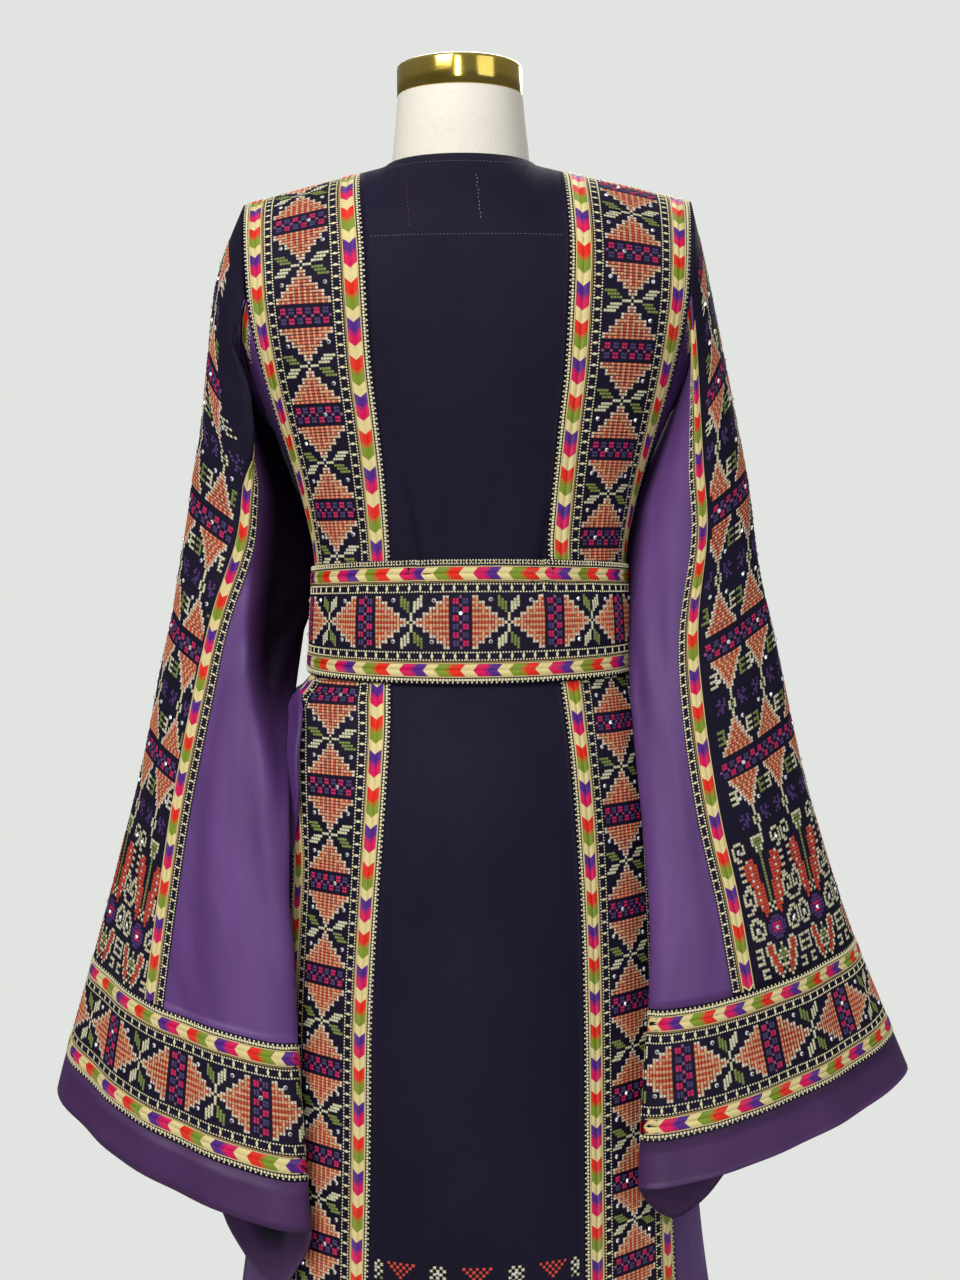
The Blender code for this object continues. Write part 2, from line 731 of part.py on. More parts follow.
def build_form():
    rings = [form_ring(height) for height in FORM_LEVELS]
    rings += [neck_ring(height) for height in NECK.column("height")]
    loft("form_torso", rings, linen)

    profile = (
        (0.0, CAP_HEIGHT + CAP_DOME),
        (CAP_RADIUS * 0.6, CAP_HEIGHT + CAP_DOME * 0.7),
        (CAP_RADIUS - CAP_EDGE, CAP_HEIGHT),
        (CAP_RADIUS, CAP_HEIGHT - CAP_EDGE),
        (CAP_RADIUS, 0.0),
        (0.0, 0.0),
    )
    cap = turned("form_neck_cap", profile, gold)
    cap.location = (NECK_LEAN, 0, CAP_BOTTOM)

    base = cylinder("form_base", BASE_RADIUS, BASE_HEIGHT, 48, dark_steel)
    base.location.z = BASE_HEIGHT / 2
    edge = base.modifiers.new("edge", "BEVEL")
    edge.width = BASE_BEVEL
    edge.segments = 2
    edge.limit_method = "ANGLE"

    pole_start, pole_end = BASE_HEIGHT + SEAM_GAP, FORM_FOOT - SEAM_GAP
    pole = cylinder("form_pole", POLE_RADIUS, pole_end - pole_start, 20, dark_steel)
    pole.location.z = (pole_start + pole_end) / 2


def turned(name, profile, material):
    """A profile from the top of the axis down its outer side, turned round the axis."""
    mesh = bpy.data.meshes.new(name)
    points = [(radius, 0, height) for radius, height in profile]
    edges = [(place, place + 1) for place in range(len(points) - 1)]
    mesh.from_pydata(points, edges, [])
    mesh.materials.append(material)
    part = bpy.data.objects.new(name, mesh)
    dress.objects.link(part)
    screw = part.modifiers.new("turn", "SCREW")
    screw.steps = screw.render_steps = 40
    screw.use_merge_vertices = True
    screw.merge_threshold = 0.00005
    return part


def cylinder(name, radius, height, sides, material):
    bpy.ops.mesh.primitive_cylinder_add(vertices=sides, radius=radius, depth=height)
    part = bpy.context.object
    part.name = part.data.name = name
    part.data.materials.append(material)
    for collection in list(part.users_collection):
        collection.objects.unlink(part)
    dress.objects.link(part)
    return part


def new_material(name):
    colour, roughness, metallic = MATERIALS[name]
    material = bpy.data.materials.new(name)
    material.use_nodes = True
    shader = material.node_tree.nodes["Principled BSDF"]
    shader.inputs["Base Color"].default_value = (*colour, 1)
    shader.inputs["Roughness"].default_value = roughness
    shader.inputs["Metallic"].default_value = metallic
    return material


for old in list(bpy.data.objects):
    bpy.data.objects.remove(old)
dress = bpy.data.collections.new("palestinian_thobe_dress")
bpy.context.scene.collection.children.link(dress)
navy_crepe = new_material("navy_crepe")
embroidered_navy = new_material("embroidered_navy")
purple_satin = new_material("purple_satin")
linen = new_material("linen")
gold = new_material("gold")
dark_steel = new_material("dark_steel")

build_form()
for where, direction in (("back", BACK), ("front", FRONT)):
    build_centre_panel(where + "_centre_panel", direction)
    for word, sign in SIDES.items():
        build_band(f"{where}_band_{word}", direction, sign)
for word, sign in SIDES.items():
    wall("side_panel_" + word, inset(side_grid(sign), False), CLOTH, purple_satin)
    build_sleeve(word, sign)
build_belt()
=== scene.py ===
"""The looks of a floor-length Palestinian thobe that stands on a limbless dress form.

Lengths are in metres and +Z is up. The back of the dress faces -Y, which is where the camera is,
and left and right are those of a viewer who looks along +Y. Every cloth piece follows the surface
of its CAD node, and its trims, stitches, beads and stones lie on that surface as real geometry.
"""

from math import cos, pi, radians, sin

import bpy
import numpy as np
from mathutils import Matrix, Vector


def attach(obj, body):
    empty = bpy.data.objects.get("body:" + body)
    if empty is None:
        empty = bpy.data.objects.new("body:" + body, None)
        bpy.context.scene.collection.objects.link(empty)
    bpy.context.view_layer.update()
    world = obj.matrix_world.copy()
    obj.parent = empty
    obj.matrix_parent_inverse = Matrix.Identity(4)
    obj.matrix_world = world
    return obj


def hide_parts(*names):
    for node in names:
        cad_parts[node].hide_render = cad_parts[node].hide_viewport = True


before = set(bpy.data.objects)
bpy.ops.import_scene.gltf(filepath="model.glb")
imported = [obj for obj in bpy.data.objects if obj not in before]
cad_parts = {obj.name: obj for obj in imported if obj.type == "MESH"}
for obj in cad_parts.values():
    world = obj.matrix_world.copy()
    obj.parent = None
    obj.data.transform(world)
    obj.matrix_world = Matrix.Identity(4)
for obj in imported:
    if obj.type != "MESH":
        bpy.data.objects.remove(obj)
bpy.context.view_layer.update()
dice = np.random.default_rng(7)


class Table:
    """Rows of numbers under named columns, read between its rows on a smooth curve."""

    def __init__(self, columns, rows):
        self.columns = dict(zip(columns.split(), np.array(rows, float).T))
        self.keys = self.columns[columns.split()[0]]

    def read(self, name, at):
        keys, values = self.keys, self.columns[name]
        place = np.arange(len(keys))
        before, after = np.maximum(place - 1, 0), np.minimum(place + 1, len(keys) - 1)
        slopes = (values[after] - values[before]) / (keys[after] - keys[before])
        at = np.clip(at, keys[0], keys[-1])
        low = np.clip(np.searchsorted(keys, at, side="right") - 1, 0, len(keys) - 2)
        span = keys[low + 1] - keys[low]
        share = (at - keys[low]) / span
        rise = values[low + 1] - values[low]
        bend = (slopes[low] * span - rise) * (1 - share) + (rise - slopes[low + 1] * span) * share
        return values[low] + rise * share + share * (1 - share) * bend


# The CAD model's driving dimensions
HEM_HEIGHT = 0.030
NECK_HEIGHT = 1.456
NECK_HALF_WIDTH = 0.066
NECK_BACK_RISE = 0.024
NECK_LEAN = -0.006
V_NECK_BOTTOM = 1.262
SHOULDER_TIP = 0.193
SHOULDER_FALL = 0.240
SHOULDER_ROUNDING = 0.100
APEX_HEIGHT = 1.335
UNDERARM_HEIGHT = 1.245
BUST_LINE = 1.195
BAND_WIDTH = 0.113
BELT_TOP = 1.117
BELT_MIDDLE = 1.064
BELT_BOTTOM = 1.012
BELT_OFF = 0.0033
BELT_LAP = 0.0033
BELT_OVERLAP = 0.060
NECK_POINT_SHARE = 0.76
ARMHOLE_GAP = 0.0009
BODY = Table(
    "height half_width back front squareness panel turn",
    (
        (0.030, 0.2750, 0.245, 0.225, 1.85, 0.0940, 0.000),
        (0.300, 0.2380, 0.228, 0.210, 1.85, 0.0890, 0.000),
        (0.500, 0.2070, 0.212, 0.192, 1.82, 0.0870, 0.001),
        (0.640, 0.1940, 0.200, 0.178, 1.80, 0.0855, 0.003),
        (0.740, 0.1850, 0.188, 0.166, 1.80, 0.0850, 0.004),
        (0.835, 0.1760, 0.174, 0.155, 1.82, 0.0815, 0.006),
        (0.900, 0.1700, 0.160, 0.146, 1.85, 0.0775, 0.007),
        (0.950, 0.1630, 0.142, 0.132, 1.90, 0.0740, 0.007),
        (0.985, 0.1520, 0.122, 0.117, 2.00, 0.0715, 0.006),
        (1.012, 0.1425, 0.109, 0.107, 2.10, 0.0700, 0.004),
        (1.064, 0.1380, 0.104, 0.102, 2.20, 0.0660, 0.001),
        (1.117, 0.1365, 0.103, 0.102, 2.20, 0.0655, 0.000),
        (1.166, 0.1470, 0.106, 0.114, 2.20, 0.0680, 0.000),
        (1.198, 0.1580, 0.109, 0.124, 2.20, 0.0705, 0.000),
        (1.235, 0.1735, 0.112, 0.130, 2.20, 0.0743, 0.000),
        (1.273, 0.1916, 0.115, 0.130, 2.20, 0.0785, 0.000),
        (1.335, 0.2220, 0.117, 0.119, 2.20, 0.0820, 0.000),
        (1.400, 0.2350, 0.113, 0.103, 2.20, 0.0850, 0.000),
        (1.465, 0.2400, 0.108, 0.092, 2.20, 0.0870, 0.000),
    ),
)
SLEEVE = Table(
    "row outer_x outer_z inner_y inner_z turn swell front droop back_right back_left overarm"
    " lift flare",
    (
        (3, 0.231, 1.235, -0.022, 1.160, 14, 0.054, 0.90, 0.000, 0.101, 0.110, 0.180, 0.000, 0.000),
        (4, 0.242, 1.175, -0.038, 1.105, 23, 0.046, 0.72, 0.003, 0.103, 0.108, 0.186, 0.000, 0.000),
        (5, 0.252, 1.105, -0.058, 1.040, 31, 0.041, 0.50, 0.008, 0.126, 0.099, 0.205, 0.000, 0.000),
        (6, 0.267, 1.035, -0.080, 0.970, 35, 0.038, 0.40, 0.016, 0.142, 0.101, 0.228, 0.002, 0.000),
        (7, 0.285, 0.945, -0.104, 0.884, 37, 0.040, 0.36, 0.028, 0.158, 0.107, 0.252, 0.006, 0.000),
        (8, 0.307, 0.858, -0.124, 0.804, 37, 0.044, 0.35, 0.048, 0.171, 0.125, 0.272, 0.015, 0.000),
        (9, 0.331, 0.774, -0.142, 0.722, 37, 0.048, 0.35, 0.068, 0.190, 0.146, 0.296, 0.026, 0.002),
        (10, 0.358, 0.688, -0.16, 0.613, 36, 0.052, 0.35, 0.066, 0.212, 0.168, 0.318, 0.031, 0.010),
        (11, 0.367, 0.655, -0.167, 0.574, 36, 0.054, 0.35, 0.066, 0.22, 0.176, 0.326, 0.034, 0.014),
    ),
)
SLEEVE_HEAD = Table("share bulge", ((0, 0), (0.30, 0.012), (0.64, 0.007), (1, 0)))
FIRST_SLEEVE_ROW, CUFF_TOP_ROW, CUFF_HEM_ROW, SLEEVE_HEM_ROW = 3, 9, 10, 11
DROOP_ANGLE = pi + 1.05
DROOP_SPREAD = 0.98
DROOP_GROWTH = {"left": 1.30, "right": 0.85}
FORM_DROP = 0.0035
FORM = Table(
    "height half_width back front squareness",
    (
        (0.820, 0.1350, 0.100, 0.092, 2.2),
        (0.900, 0.1500, 0.115, 0.104, 2.2),
        (0.950, 0.1460, 0.112, 0.100, 2.2),
        (1.010, 0.1320, 0.098, 0.096, 2.2),
        (1.070, 0.1270, 0.094, 0.092, 2.2),
        (1.130, 0.1290, 0.094, 0.095, 2.2),
        (1.180, 0.1400, 0.098, 0.110, 2.2),
        (1.235, 0.1540, 0.104, 0.121, 2.2),
        (1.290, 0.1620, 0.109, 0.118, 2.3),
        (1.340, 0.1670, 0.109, 0.108, 2.4),
        (1.390, 0.1720, 0.107, 0.098, 2.5),
        (1.420, 0.1760, 0.102, 0.082, 2.6),
        (1.465, 0.1900, 0.094, 0.066, 2.6),
    ),
)
NECK = Table(
    "height half_width depth",
    (
        (1.4505, 0.0605, 0.0600),
        (1.466, 0.0595, 0.0590),
        (1.490, 0.0570, 0.0580),
        (1.5174, 0.0545, 0.0545),
    ),
)
BACK, FRONT = -1, 1
SIDES = {"left": -1, "right": 1}

# Sizes that only the looks need: how thick the cloths are, the cell of a cross stitch, the gap that
# embroidery keeps from a band's ends, and how far to each side a direction on the cloth is measured
CLOTH = 0.0012
BELT_CLOTH = 0.0022
BRAID_CLOTH = 0.0008
CELL = 0.00264
END_GAP = 0.001
PROBE = 0.0012


# The surface of the body's cloth

def shoulder_height(x):
    inside = NECK_HEIGHT + NECK_BACK_RISE * (1 - (x / NECK_HALF_WIDTH) ** 2)
    outside = NECK_HEIGHT - SHOULDER_FALL * (np.abs(x) - NECK_HALF_WIDTH)
    return np.where(np.abs(x) >= NECK_HALF_WIDTH, outside, inside)


def rounding(drop):
    share = np.clip(drop / SHOULDER_ROUNDING, 0, 1)
    return np.sqrt(share * (2 - share))


def body_depth(facing, height):
    return BODY.read("back" if facing == BACK else "front", height)


def stacked(x, y, z):
    return np.stack(np.broadcast_arrays(x, y, z), axis=-1)


def runs(points):
    """How far along its row each point lies."""
    steps = np.linalg.norm(np.diff(points, axis=-2), axis=-1)
    return np.concatenate([0 * steps[..., :1], np.cumsum(steps, axis=-1)], axis=-1)


def flat_point(facing, angle, height):
    """A point by the angle round its section, before the neck's lean and the folds."""
    power = 2 / BODY.read("squareness", height)
    x = np.sign(angle) * BODY.read("half_width", height) * np.abs(np.sin(angle)) ** power
    y = facing * body_depth(facing, height) * np.maximum(np.cos(angle), 0) ** power
    return stacked(x, y * rounding(shoulder_height(x) - height), height)


def angle_at(x, height):
    share = np.minimum(np.abs(x) / BODY.read("half_width", height), 1)
    return np.sign(x) * np.arcsin(share ** (BODY.read("squareness", height) / 2))


def smooth_step(value, start, end):
    share = np.clip((value - start) / (end - start), 0, 1)
    return share * share * (3 - 2 * share)


def window(value, start, full, fading, end):
    """A share that rises from 0 at start to 1 at full, and falls from 1 at fading to 0 at end."""
    return smooth_step(value, start, full) * smooth_step(value, end, fading)


def bell(value, middle, width):
    return np.exp(-((value - middle) / width) ** 2)


# How deep the skirt's folds and the gathers under the belt are, and how far the left side puffs out
SKIRT_FOLD, GATHER, LEFT_PUFF = 0.0048, 0.0035, 0.021
# Tucks that the belt gathers above it: how far from the centre, how wide and how deep
TUCKS = (
    (-0.046, 0.0045, 0.0042), (0.063, 0.0042, 0.0050), (-0.090, 0.0060, 0.0026),
    (0.101, 0.0060, 0.0028), (0.014, 0.0110, 0.0012), (-0.018, 0.0090, 0.0014),
)


def body_folds(point, facing):
    """How far the cloth sinks in from its CAD surface, as folds of the skirt and at the waist."""
    x, y, z = point[..., 0], point[..., 1], point[..., 2]
    across = x / BODY.read("half_width", z)
    around = np.arctan2(across, -y / body_depth(facing, z))
    open_side = 0.25 + 0.75 * np.abs(np.sin(around)) ** 1.5
    wave = np.sin(9 * around + 0.8 + 1.3 * z) + 0.6 * np.sin(15 * around - 1.9 - 2.0 * z)
    sunk = SKIRT_FOLD * smooth_step(z, 0.99, 0.20) * open_side * (0.5 + 0.31 * wave)
    gathered = window(z, 0.80, 0.95, 0.975, 1.005) * np.sin(around) ** 2
    sunk += GATHER * gathered * (0.5 + 0.5 * np.sin(19 * around + 30 * (z - 0.95)))
    left = np.maximum(-np.sin(around), 0) ** 5
    sunk -= LEFT_PUFF * left * window(z, 0.84, 0.960, 0.992, 1.014)
    waist = window(z, 1.07, 1.11, 1.125, 1.215)
    for centre, width, depth in TUCKS:
        spread = 0.16 * (z - 1.12) * np.sign(centre)
        sunk += depth * waist * bell(x - spread, centre, width)
    return sunk


def lean(x, height):
    """How far the neck leans across, less and less down to the shoulders and out to their tips."""
    share = smooth_step(height, 1.36, 1.46)
    return NECK_LEAN * share * np.maximum(1 - (x / SHOULDER_TIP) ** 2, 0)


def worn(point, facing):
    """The point with the folds of the cloth and the lean of the neck."""
    x, y, z = point[..., 0], point[..., 1], point[..., 2]
    out_x = x / BODY.read("half_width", z) ** 2
    out_y = y / body_depth(facing, z) ** 2
    share = body_folds(point, facing) / (np.hypot(out_x, out_y) + 1e-9)
    return stacked(x - out_x * share + lean(x, z), y - out_y * share, z)


def panel_edge(facing, side, height):
    return side * BODY.read("panel", height) - facing * BODY.read("turn", height)


def outer_angles(facing, side):
    """The band's outer edge below the apex, as heights and angles."""
    heights = np.linspace(HEM_HEIGHT, APEX_HEIGHT, 320)
    inner = angle_at(panel_edge(facing, side, heights), heights)
    shares = np.linspace(0, 1, 400)
    angles = inner[:, None] + (side * pi / 2 - inner[:, None]) * shares
    points = flat_point(facing, angles, heights[:, None])
    ends = [np.interp(BAND_WIDTH, run, line) for run, line in zip(runs(points), angles)]
    return heights, np.array(ends)


EDGES = {(facing, side): outer_angles(facing, side) for facing in (BACK, FRONT) for side in (-1, 1)}


def outer_angle(facing, side, height):
    heights, angles = EDGES[facing, side]
    return np.interp(height, heights, angles)


def band_edge(facing, side, height):
    """How far from the centre the band ends."""
    apex = flat_point(facing, outer_angle(facing, side, APEX_HEIGHT), APEX_HEIGHT)[..., 0]
    share = (height - APEX_HEIGHT) / (shoulder_height(SHOULDER_TIP) - APEX_HEIGHT)
    return apex + (side * SHOULDER_TIP - apex) * np.clip(share, 0, 1)


# Rows of the body's cloth: heights up to the apex of the side panel, then turns over the shoulder
LOW_ROWS = np.linspace(HEM_HEIGHT, APEX_HEIGHT, 164)
TURNS = np.radians(np.linspace(90, 0, 17))[1:]


def turned_level(turn, top):
    return top - (top - APEX_HEIGHT) * (1 - np.cos(turn))


def band_points(facing, side, shares):
    """The band's points, a row for each height and turn, with shares from the centre panel out."""
    heights = LOW_ROWS[:, None]
    inner = angle_at(panel_edge(facing, side, heights), heights)
    outer = outer_angle(facing, side, heights)
    low = flat_point(facing, inner + (outer - inner) * shares, heights)
    turns = TURNS[:, None]
    nominal = turned_level(turns, shoulder_height(SHOULDER_TIP))
    inner, outer = panel_edge(facing, side, nominal), band_edge(facing, side, nominal)
    x = inner + (outer - inner) * shares
    z = turned_level(turns, shoulder_height(x))
    return np.vstack([low, flat_point(facing, angle_at(x, z), z)])


def stretched(height, base, edge_top, top):
    moved = base + (height - base) * (top - base) / (edge_top - base)
    return np.where(height <= base, height, moved)


def centre_points(facing, side, shares):
    """Half a centre panel, with shares from its centre line to the band."""
    edge = band_points(facing, side, np.array([0.0]))[:, 0]
    height, edge_x = edge[:, 2:3], edge[:, 0:1]
    base = APEX_HEIGHT if facing == BACK else BUST_LINE
    middle = -facing * BODY.read("turn", height)
    x = middle + (edge_x - middle) * shares
    top = np.minimum(shoulder_height(x), NECK_HEIGHT)
    if facing == FRONT:
        slope = V_NECK_BOTTOM + (NECK_HEIGHT - V_NECK_BOTTOM) * shares / NECK_POINT_SHARE
        top = np.where(shares < NECK_POINT_SHARE, slope, top)
    z = stretched(height, base, shoulder_height(edge_x), top)
    return flat_point(facing, angle_at(x, z), z)


def side_points(facing, side, shares):
    """Half a side panel, with shares from the band to the side seam."""
    heights = LOW_ROWS[:, None]
    top = UNDERARM_HEIGHT + (APEX_HEIGHT - UNDERARM_HEIGHT) * (1 - np.sin(shares * pi / 2))
    z = stretched(heights, BUST_LINE, APEX_HEIGHT, top)
    inner = outer_angle(facing, side, z)
    return flat_point(facing, inner + (side * pi / 2 - inner) * shares, z)


# Grids of cloth

def unit(vectors):
    return vectors / np.maximum(np.linalg.norm(vectors, axis=-1, keepdims=True), 1e-12)


def points_at(line, run, at):
    """The points at some lengths along a line whose own points lie at the lengths in run."""
    return np.stack([np.interp(at, run, line[:, axis]) for axis in range(3)], axis=-1)


def evenly(rows, count):
    """Each row of points read again at equal lengths."""
    return np.array([
        points_at(line, run, np.linspace(0, run[-1], count)) for line, run in zip(rows, runs(rows))
    ])


class Patch:
    """A grid of points on the outside of a cloth, read by the share across and the length along.

    The first axis runs along the piece and the second across it. A ring's last row is its first.
    The normals point away from the Z axis, or to the side of the directions in outward.
    """

    def __init__(self, points, outward=None, ring=False):
        self.points, self.ring = points, ring
        along = np.gradient(points, axis=0)
        if ring:
            along[0] = along[-1] = points[1] - points[-2]
        normals = unit(np.cross(along, np.gradient(points, axis=1)))
        outward = points * (1, 1, 0) if outward is None else outward
        self.normals = -normals if np.sum(normals * outward) < 0 else normals
        self.run = runs(points[:, points.shape[1] // 2])
        self.widths = runs(points)[:, -1]
        self.length = float(self.run[-1])

    def width(self, along):
        return np.interp(along, self.run, self.widths)

    def read(self, grid, share, along):
        rows, columns = grid.shape[:2]
        share, along = np.broadcast_arrays(share, along)
        if self.ring:
            along = along % self.length
        row = np.clip(np.interp(along, self.run, np.arange(rows)), 0, rows - 1.0001)
        column = np.clip(share, 0, 1) * (columns - 1.0001)
        r, c = row.astype(int), column.astype(int)
        fr, fc = (row - r)[..., None], (column - c)[..., None]
        near = grid[r, c] * (1 - fc) + grid[r, c + 1] * fc
        far = grid[r + 1, c] * (1 - fc) + grid[r + 1, c + 1] * fc
        return near * (1 - fr) + far * fr

    def area(self):
        across = np.diff(self.points, axis=1)[:-1]
        along = np.diff(self.points, axis=0)[:, :-1]
        return np.linalg.norm(np.cross(across, along), axis=2).sum()


class Lane:
    """A strip of a patch, read by metres across from one place and metres along.

    Where scale is set, the metres across are those of a strip that wide which fills the patch.
    """

    def __init__(self, patch, start=0.0, sign=1, scale=None):
        self.patch, self.start, self.sign, self.scale = patch, start, sign, scale

    def share(self, across, along):
        width = self.patch.width(along) if self.scale is None else self.scale
        return self.start + self.sign * across / width

    def at(self, across, along, height=0.0):
        share = self.share(across, along)
        point = self.patch.read(self.patch.points, share, along)
        normal = unit(self.patch.read(self.patch.normals, share, along))
        return point + normal * np.asarray(height)[..., None]

    def axes(self, across, along):
        """The point, and the directions across, along and out of the cloth there."""
        right = unit(self.at(across + PROBE, along) - self.at(across - PROBE, along))
        down = unit(self.at(across, along + PROBE) - self.at(across, along - PROBE))
        out = unit(self.patch.read(self.patch.normals, self.share(across, along), along))
        return self.at(across, along), right, down, out


class Track:
    """Where each repeat of a pattern falls along a lane, and how far across it is centred.

    The knots are (repeat, place along[, place across]). The spacing beyond them is that of before
    and after, or stays as it is at the ends. A track reaches FAR repeats beyond its knots.
    """

    FAR = 60

    def __init__(self, knots, before=None, after=None):
        repeats, places, middles = zip(*((*knot, 0.0)[:3] for knot in knots))
        before = before or (places[1] - places[0]) / (repeats[1] - repeats[0])
        after = after or (places[-1] - places[-2]) / (repeats[-1] - repeats[-2])
        self.repeats = [repeats[0] - self.FAR, *repeats, repeats[-1] + self.FAR]
        self.places = [places[0] - self.FAR * before, *places, places[-1] + self.FAR * after]
        self.middles = [middles[0], *middles, middles[-1]]

    def place(self, repeat):
        return np.interp(repeat, self.repeats, self.places)

    def middle(self, repeat):
        return np.interp(repeat, self.repeats, self.middles)

    def repeat(self, place):
        return np.interp(place, self.places, self.repeats)

    def rows(self, start, end, count, anchor):
        """The whole rows between start and end: their numbers, places and middles.

        A repeat has count rows, and its place is that of the row called anchor.
        """
        low, high = (int(self.repeat(place) * count + anchor) for place in (start, end))
        numbers = np.arange(low - 2, high + 3)
        repeats = (numbers + 0.5 - anchor) / count
        places = self.place(repeats)
        kept = (places > start) & (places < end)
        return numbers[kept], places[kept], self.middle(repeats[kept])


def even(first, pitch):
    return Track(((0, first), (1, first + pitch)))


def placed(name, data):
    """A new object in the scene."""
    thing = bpy.data.objects.new(name, data)
    bpy.context.scene.collection.objects.link(thing)
    return thing


class Work:
    """Vertices, faces and materials gathered for one mesh."""

    def __init__(self):
        self.points, self.faces, self.slots, self.smooth, self.uvs = [], [], [], [], []
        self.count = 0

    def add(self, points, faces, slots, uvs, smooth=True):
        points = np.asarray(points, float).reshape(-1, 3)
        faces = np.asarray(faces)
        self.points.append(points)
        self.faces.extend((faces + self.count).tolist())
        self.slots.append(np.broadcast_to(slots, len(faces)))
        self.smooth.append(np.broadcast_to(smooth, len(faces)))
        self.uvs.append(np.asarray(uvs, float).reshape(-1, 2))
        self.count += len(points)

    def finish(self, name, materials):
        mesh = bpy.data.meshes.new(name)
        mesh.from_pydata(np.vstack(self.points).tolist(), [], self.faces)
        slots = np.concatenate(self.slots).astype(np.int32)
        used = np.unique(slots)
        for slot in used:
            mesh.materials.append(materials[slot])
        mesh.polygons.foreach_set("material_index", np.searchsorted(used, slots).astype(np.int32))
        mesh.polygons.foreach_set("use_smooth", np.concatenate(self.smooth).astype(bool))
        corners = np.empty(len(mesh.loops), np.int32)
        mesh.loops.foreach_get("vertex_index", corners)
        layer = mesh.uv_layers.new(name="metres")
        layer.data.foreach_set("uv", np.vstack(self.uvs)[corners].astype(np.float32).ravel())
        mesh.update()
        piece = placed(name, mesh)
        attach(piece, "root")
        return piece


def grid_faces(rows, columns, ring=False):
    """Quads between the points of a grid, whose last row joins its first in a ring."""
    r, c = np.meshgrid(np.arange(rows if ring else rows - 1), np.arange(columns - 1), indexing="ij")
    below = (r + 1) % rows
    corners = (r * columns + c, r * columns + c + 1, below * columns + c + 1, below * columns + c)
    return np.stack([corner.ravel() for corner in corners], axis=1)


def cloth(name, patch, thickness, material, shade=None):
    """A closed wall of cloth under the patch's surface, and the painted shade of its folds as an
    attribute.
    """
    points, normals = patch.points, patch.normals
    across = runs(points)
    across -= across[:, -1:] / 2
    along = np.broadcast_to(patch.run[:, None], across.shape)
    if patch.ring:
        points, normals, across, along = points[:-1], normals[:-1], across[:-1], along[:-1]
    rows, columns = points.shape[:2]
    faces = grid_faces(rows, columns, patch.ring)
    first = faces[0]
    flat = points.reshape(-1, 3)
    facing = np.cross(flat[first[1]] - flat[first[0]], flat[first[3]] - flat[first[0]])
    if facing @ normals.reshape(-1, 3)[first[0]] < 0:
        faces = faces[:, ::-1]
    uvs = np.stack([across, along], axis=-1)
    work = Work()
    work.add(points, faces, 0, uvs)
    work.add(points - normals * thickness, faces[:, ::-1], 0, uvs)
    total = rows * columns
    index = np.arange(total).reshape(rows, columns)
    loops = [index[:, 0], index[:, -1][::-1]]
    if patch.ring:
        loops = [np.append(loop, loop[0]) for loop in loops]
    else:
        loops = [np.concatenate([index[:, 0], index[-1, 1:], index[-2::-1, -1], index[0, -2::-1]])]
    for loop in loops:
        edge = np.stack([loop[:-1], loop[1:], loop[1:] + total, loop[:-1] + total], axis=1)
        work.faces.extend(edge.tolist())
        work.slots.append(np.zeros(len(edge), int))
        work.smooth.append(np.zeros(len(edge), bool))
    piece = work.finish(name, [material])
    # Painted shade: how near-black the satin is drawn at each point of the folds.
    if shade is not None:
        shade = shade.reshape(-1).astype(np.float32)
        layer = piece.data.attributes.new("painted_fold_shade", "FLOAT", "POINT")
        layer.data.foreach_set("value", np.concatenate([shade, shade]))
    return piece


# Materials

def srgb(red, green, blue):
    levels = [level / 255 for level in (red, green, blue)]
    linear = [(v / 12.92 if v <= 0.04045 else ((v + 0.055) / 1.055) ** 2.4) for v in levels]
    return (*linear, 1)


class Nodes:
    """A new node material and short calls to add to it."""

    def __init__(self, name, colour, roughness, **settings):
        self.material = bpy.data.materials.new(name)
        self.material.use_nodes = True
        self.tree = self.material.node_tree
        self.shader = self.tree.nodes["Principled BSDF"]
        self.shader.inputs["Base Color"].default_value = colour
        self.shader.inputs["Roughness"].default_value = roughness
        for socket, value in settings.items():
            self.shader.inputs[socket.replace("_", " ")].default_value = value
        self.material.diffuse_color = colour

    def add(self, kind, links=(), **values):
        node = self.tree.nodes.new("ShaderNode" + kind)
        for name, value in values.items():
            if name in node.bl_rna.properties:
                setattr(node, name, value)
            else:
                node.inputs[name.replace("_", " ")].default_value = value
        for socket, source in dict(links).items():
            self.tree.links.new(source, node.inputs[socket])
        return node

    def link(self, source, socket):
        self.tree.links.new(source, self.shader.inputs[socket])

    def metres(self):
        """The cloth's own lengths across and along, in metres."""
        return self.add("UVMap", uv_map="metres").outputs[0]

    def noise(self, where, scale, detail=2.0, roughness=0.5):
        settings = {"Scale": scale, "Detail": detail, "Roughness": roughness}
        return self.add("TexNoise", {"Vector": where}, **settings).outputs["Fac"]

    def ramp(self, value, *stops):
        node = self.add("ValToRGB", {"Fac": value})
        elements = node.color_ramp.elements
        while len(elements) < len(stops):
            elements.new(0.5)
        for element, (place, colour) in zip(elements, stops):
            element.position, element.color = place, colour
        return node.outputs["Color"]

    def level(self, value, low, high):
        return self.add("MapRange", {"Value": value}, To_Min=low, To_Max=high).outputs["Result"]

    def scaled(self, where, *scale):
        return self.add("Mapping", {"Vector": where}, Scale=scale).outputs["Vector"]

    def bump(self, height, distance, strength=1.0, normal=None):
        links = {"Height": height}
        if normal is not None:
            links["Normal"] = normal
        return self.add("Bump", links, Distance=distance, Strength=strength).outputs["Normal"]

    def stripes(self, where, scale, direction="X", distortion=0.0):
        node = self.add(
            "TexWave", {"Vector": where}, bands_direction=direction, Scale=scale,
            Distortion=distortion, Detail=1.0,
        )
        return node.outputs["Fac"]


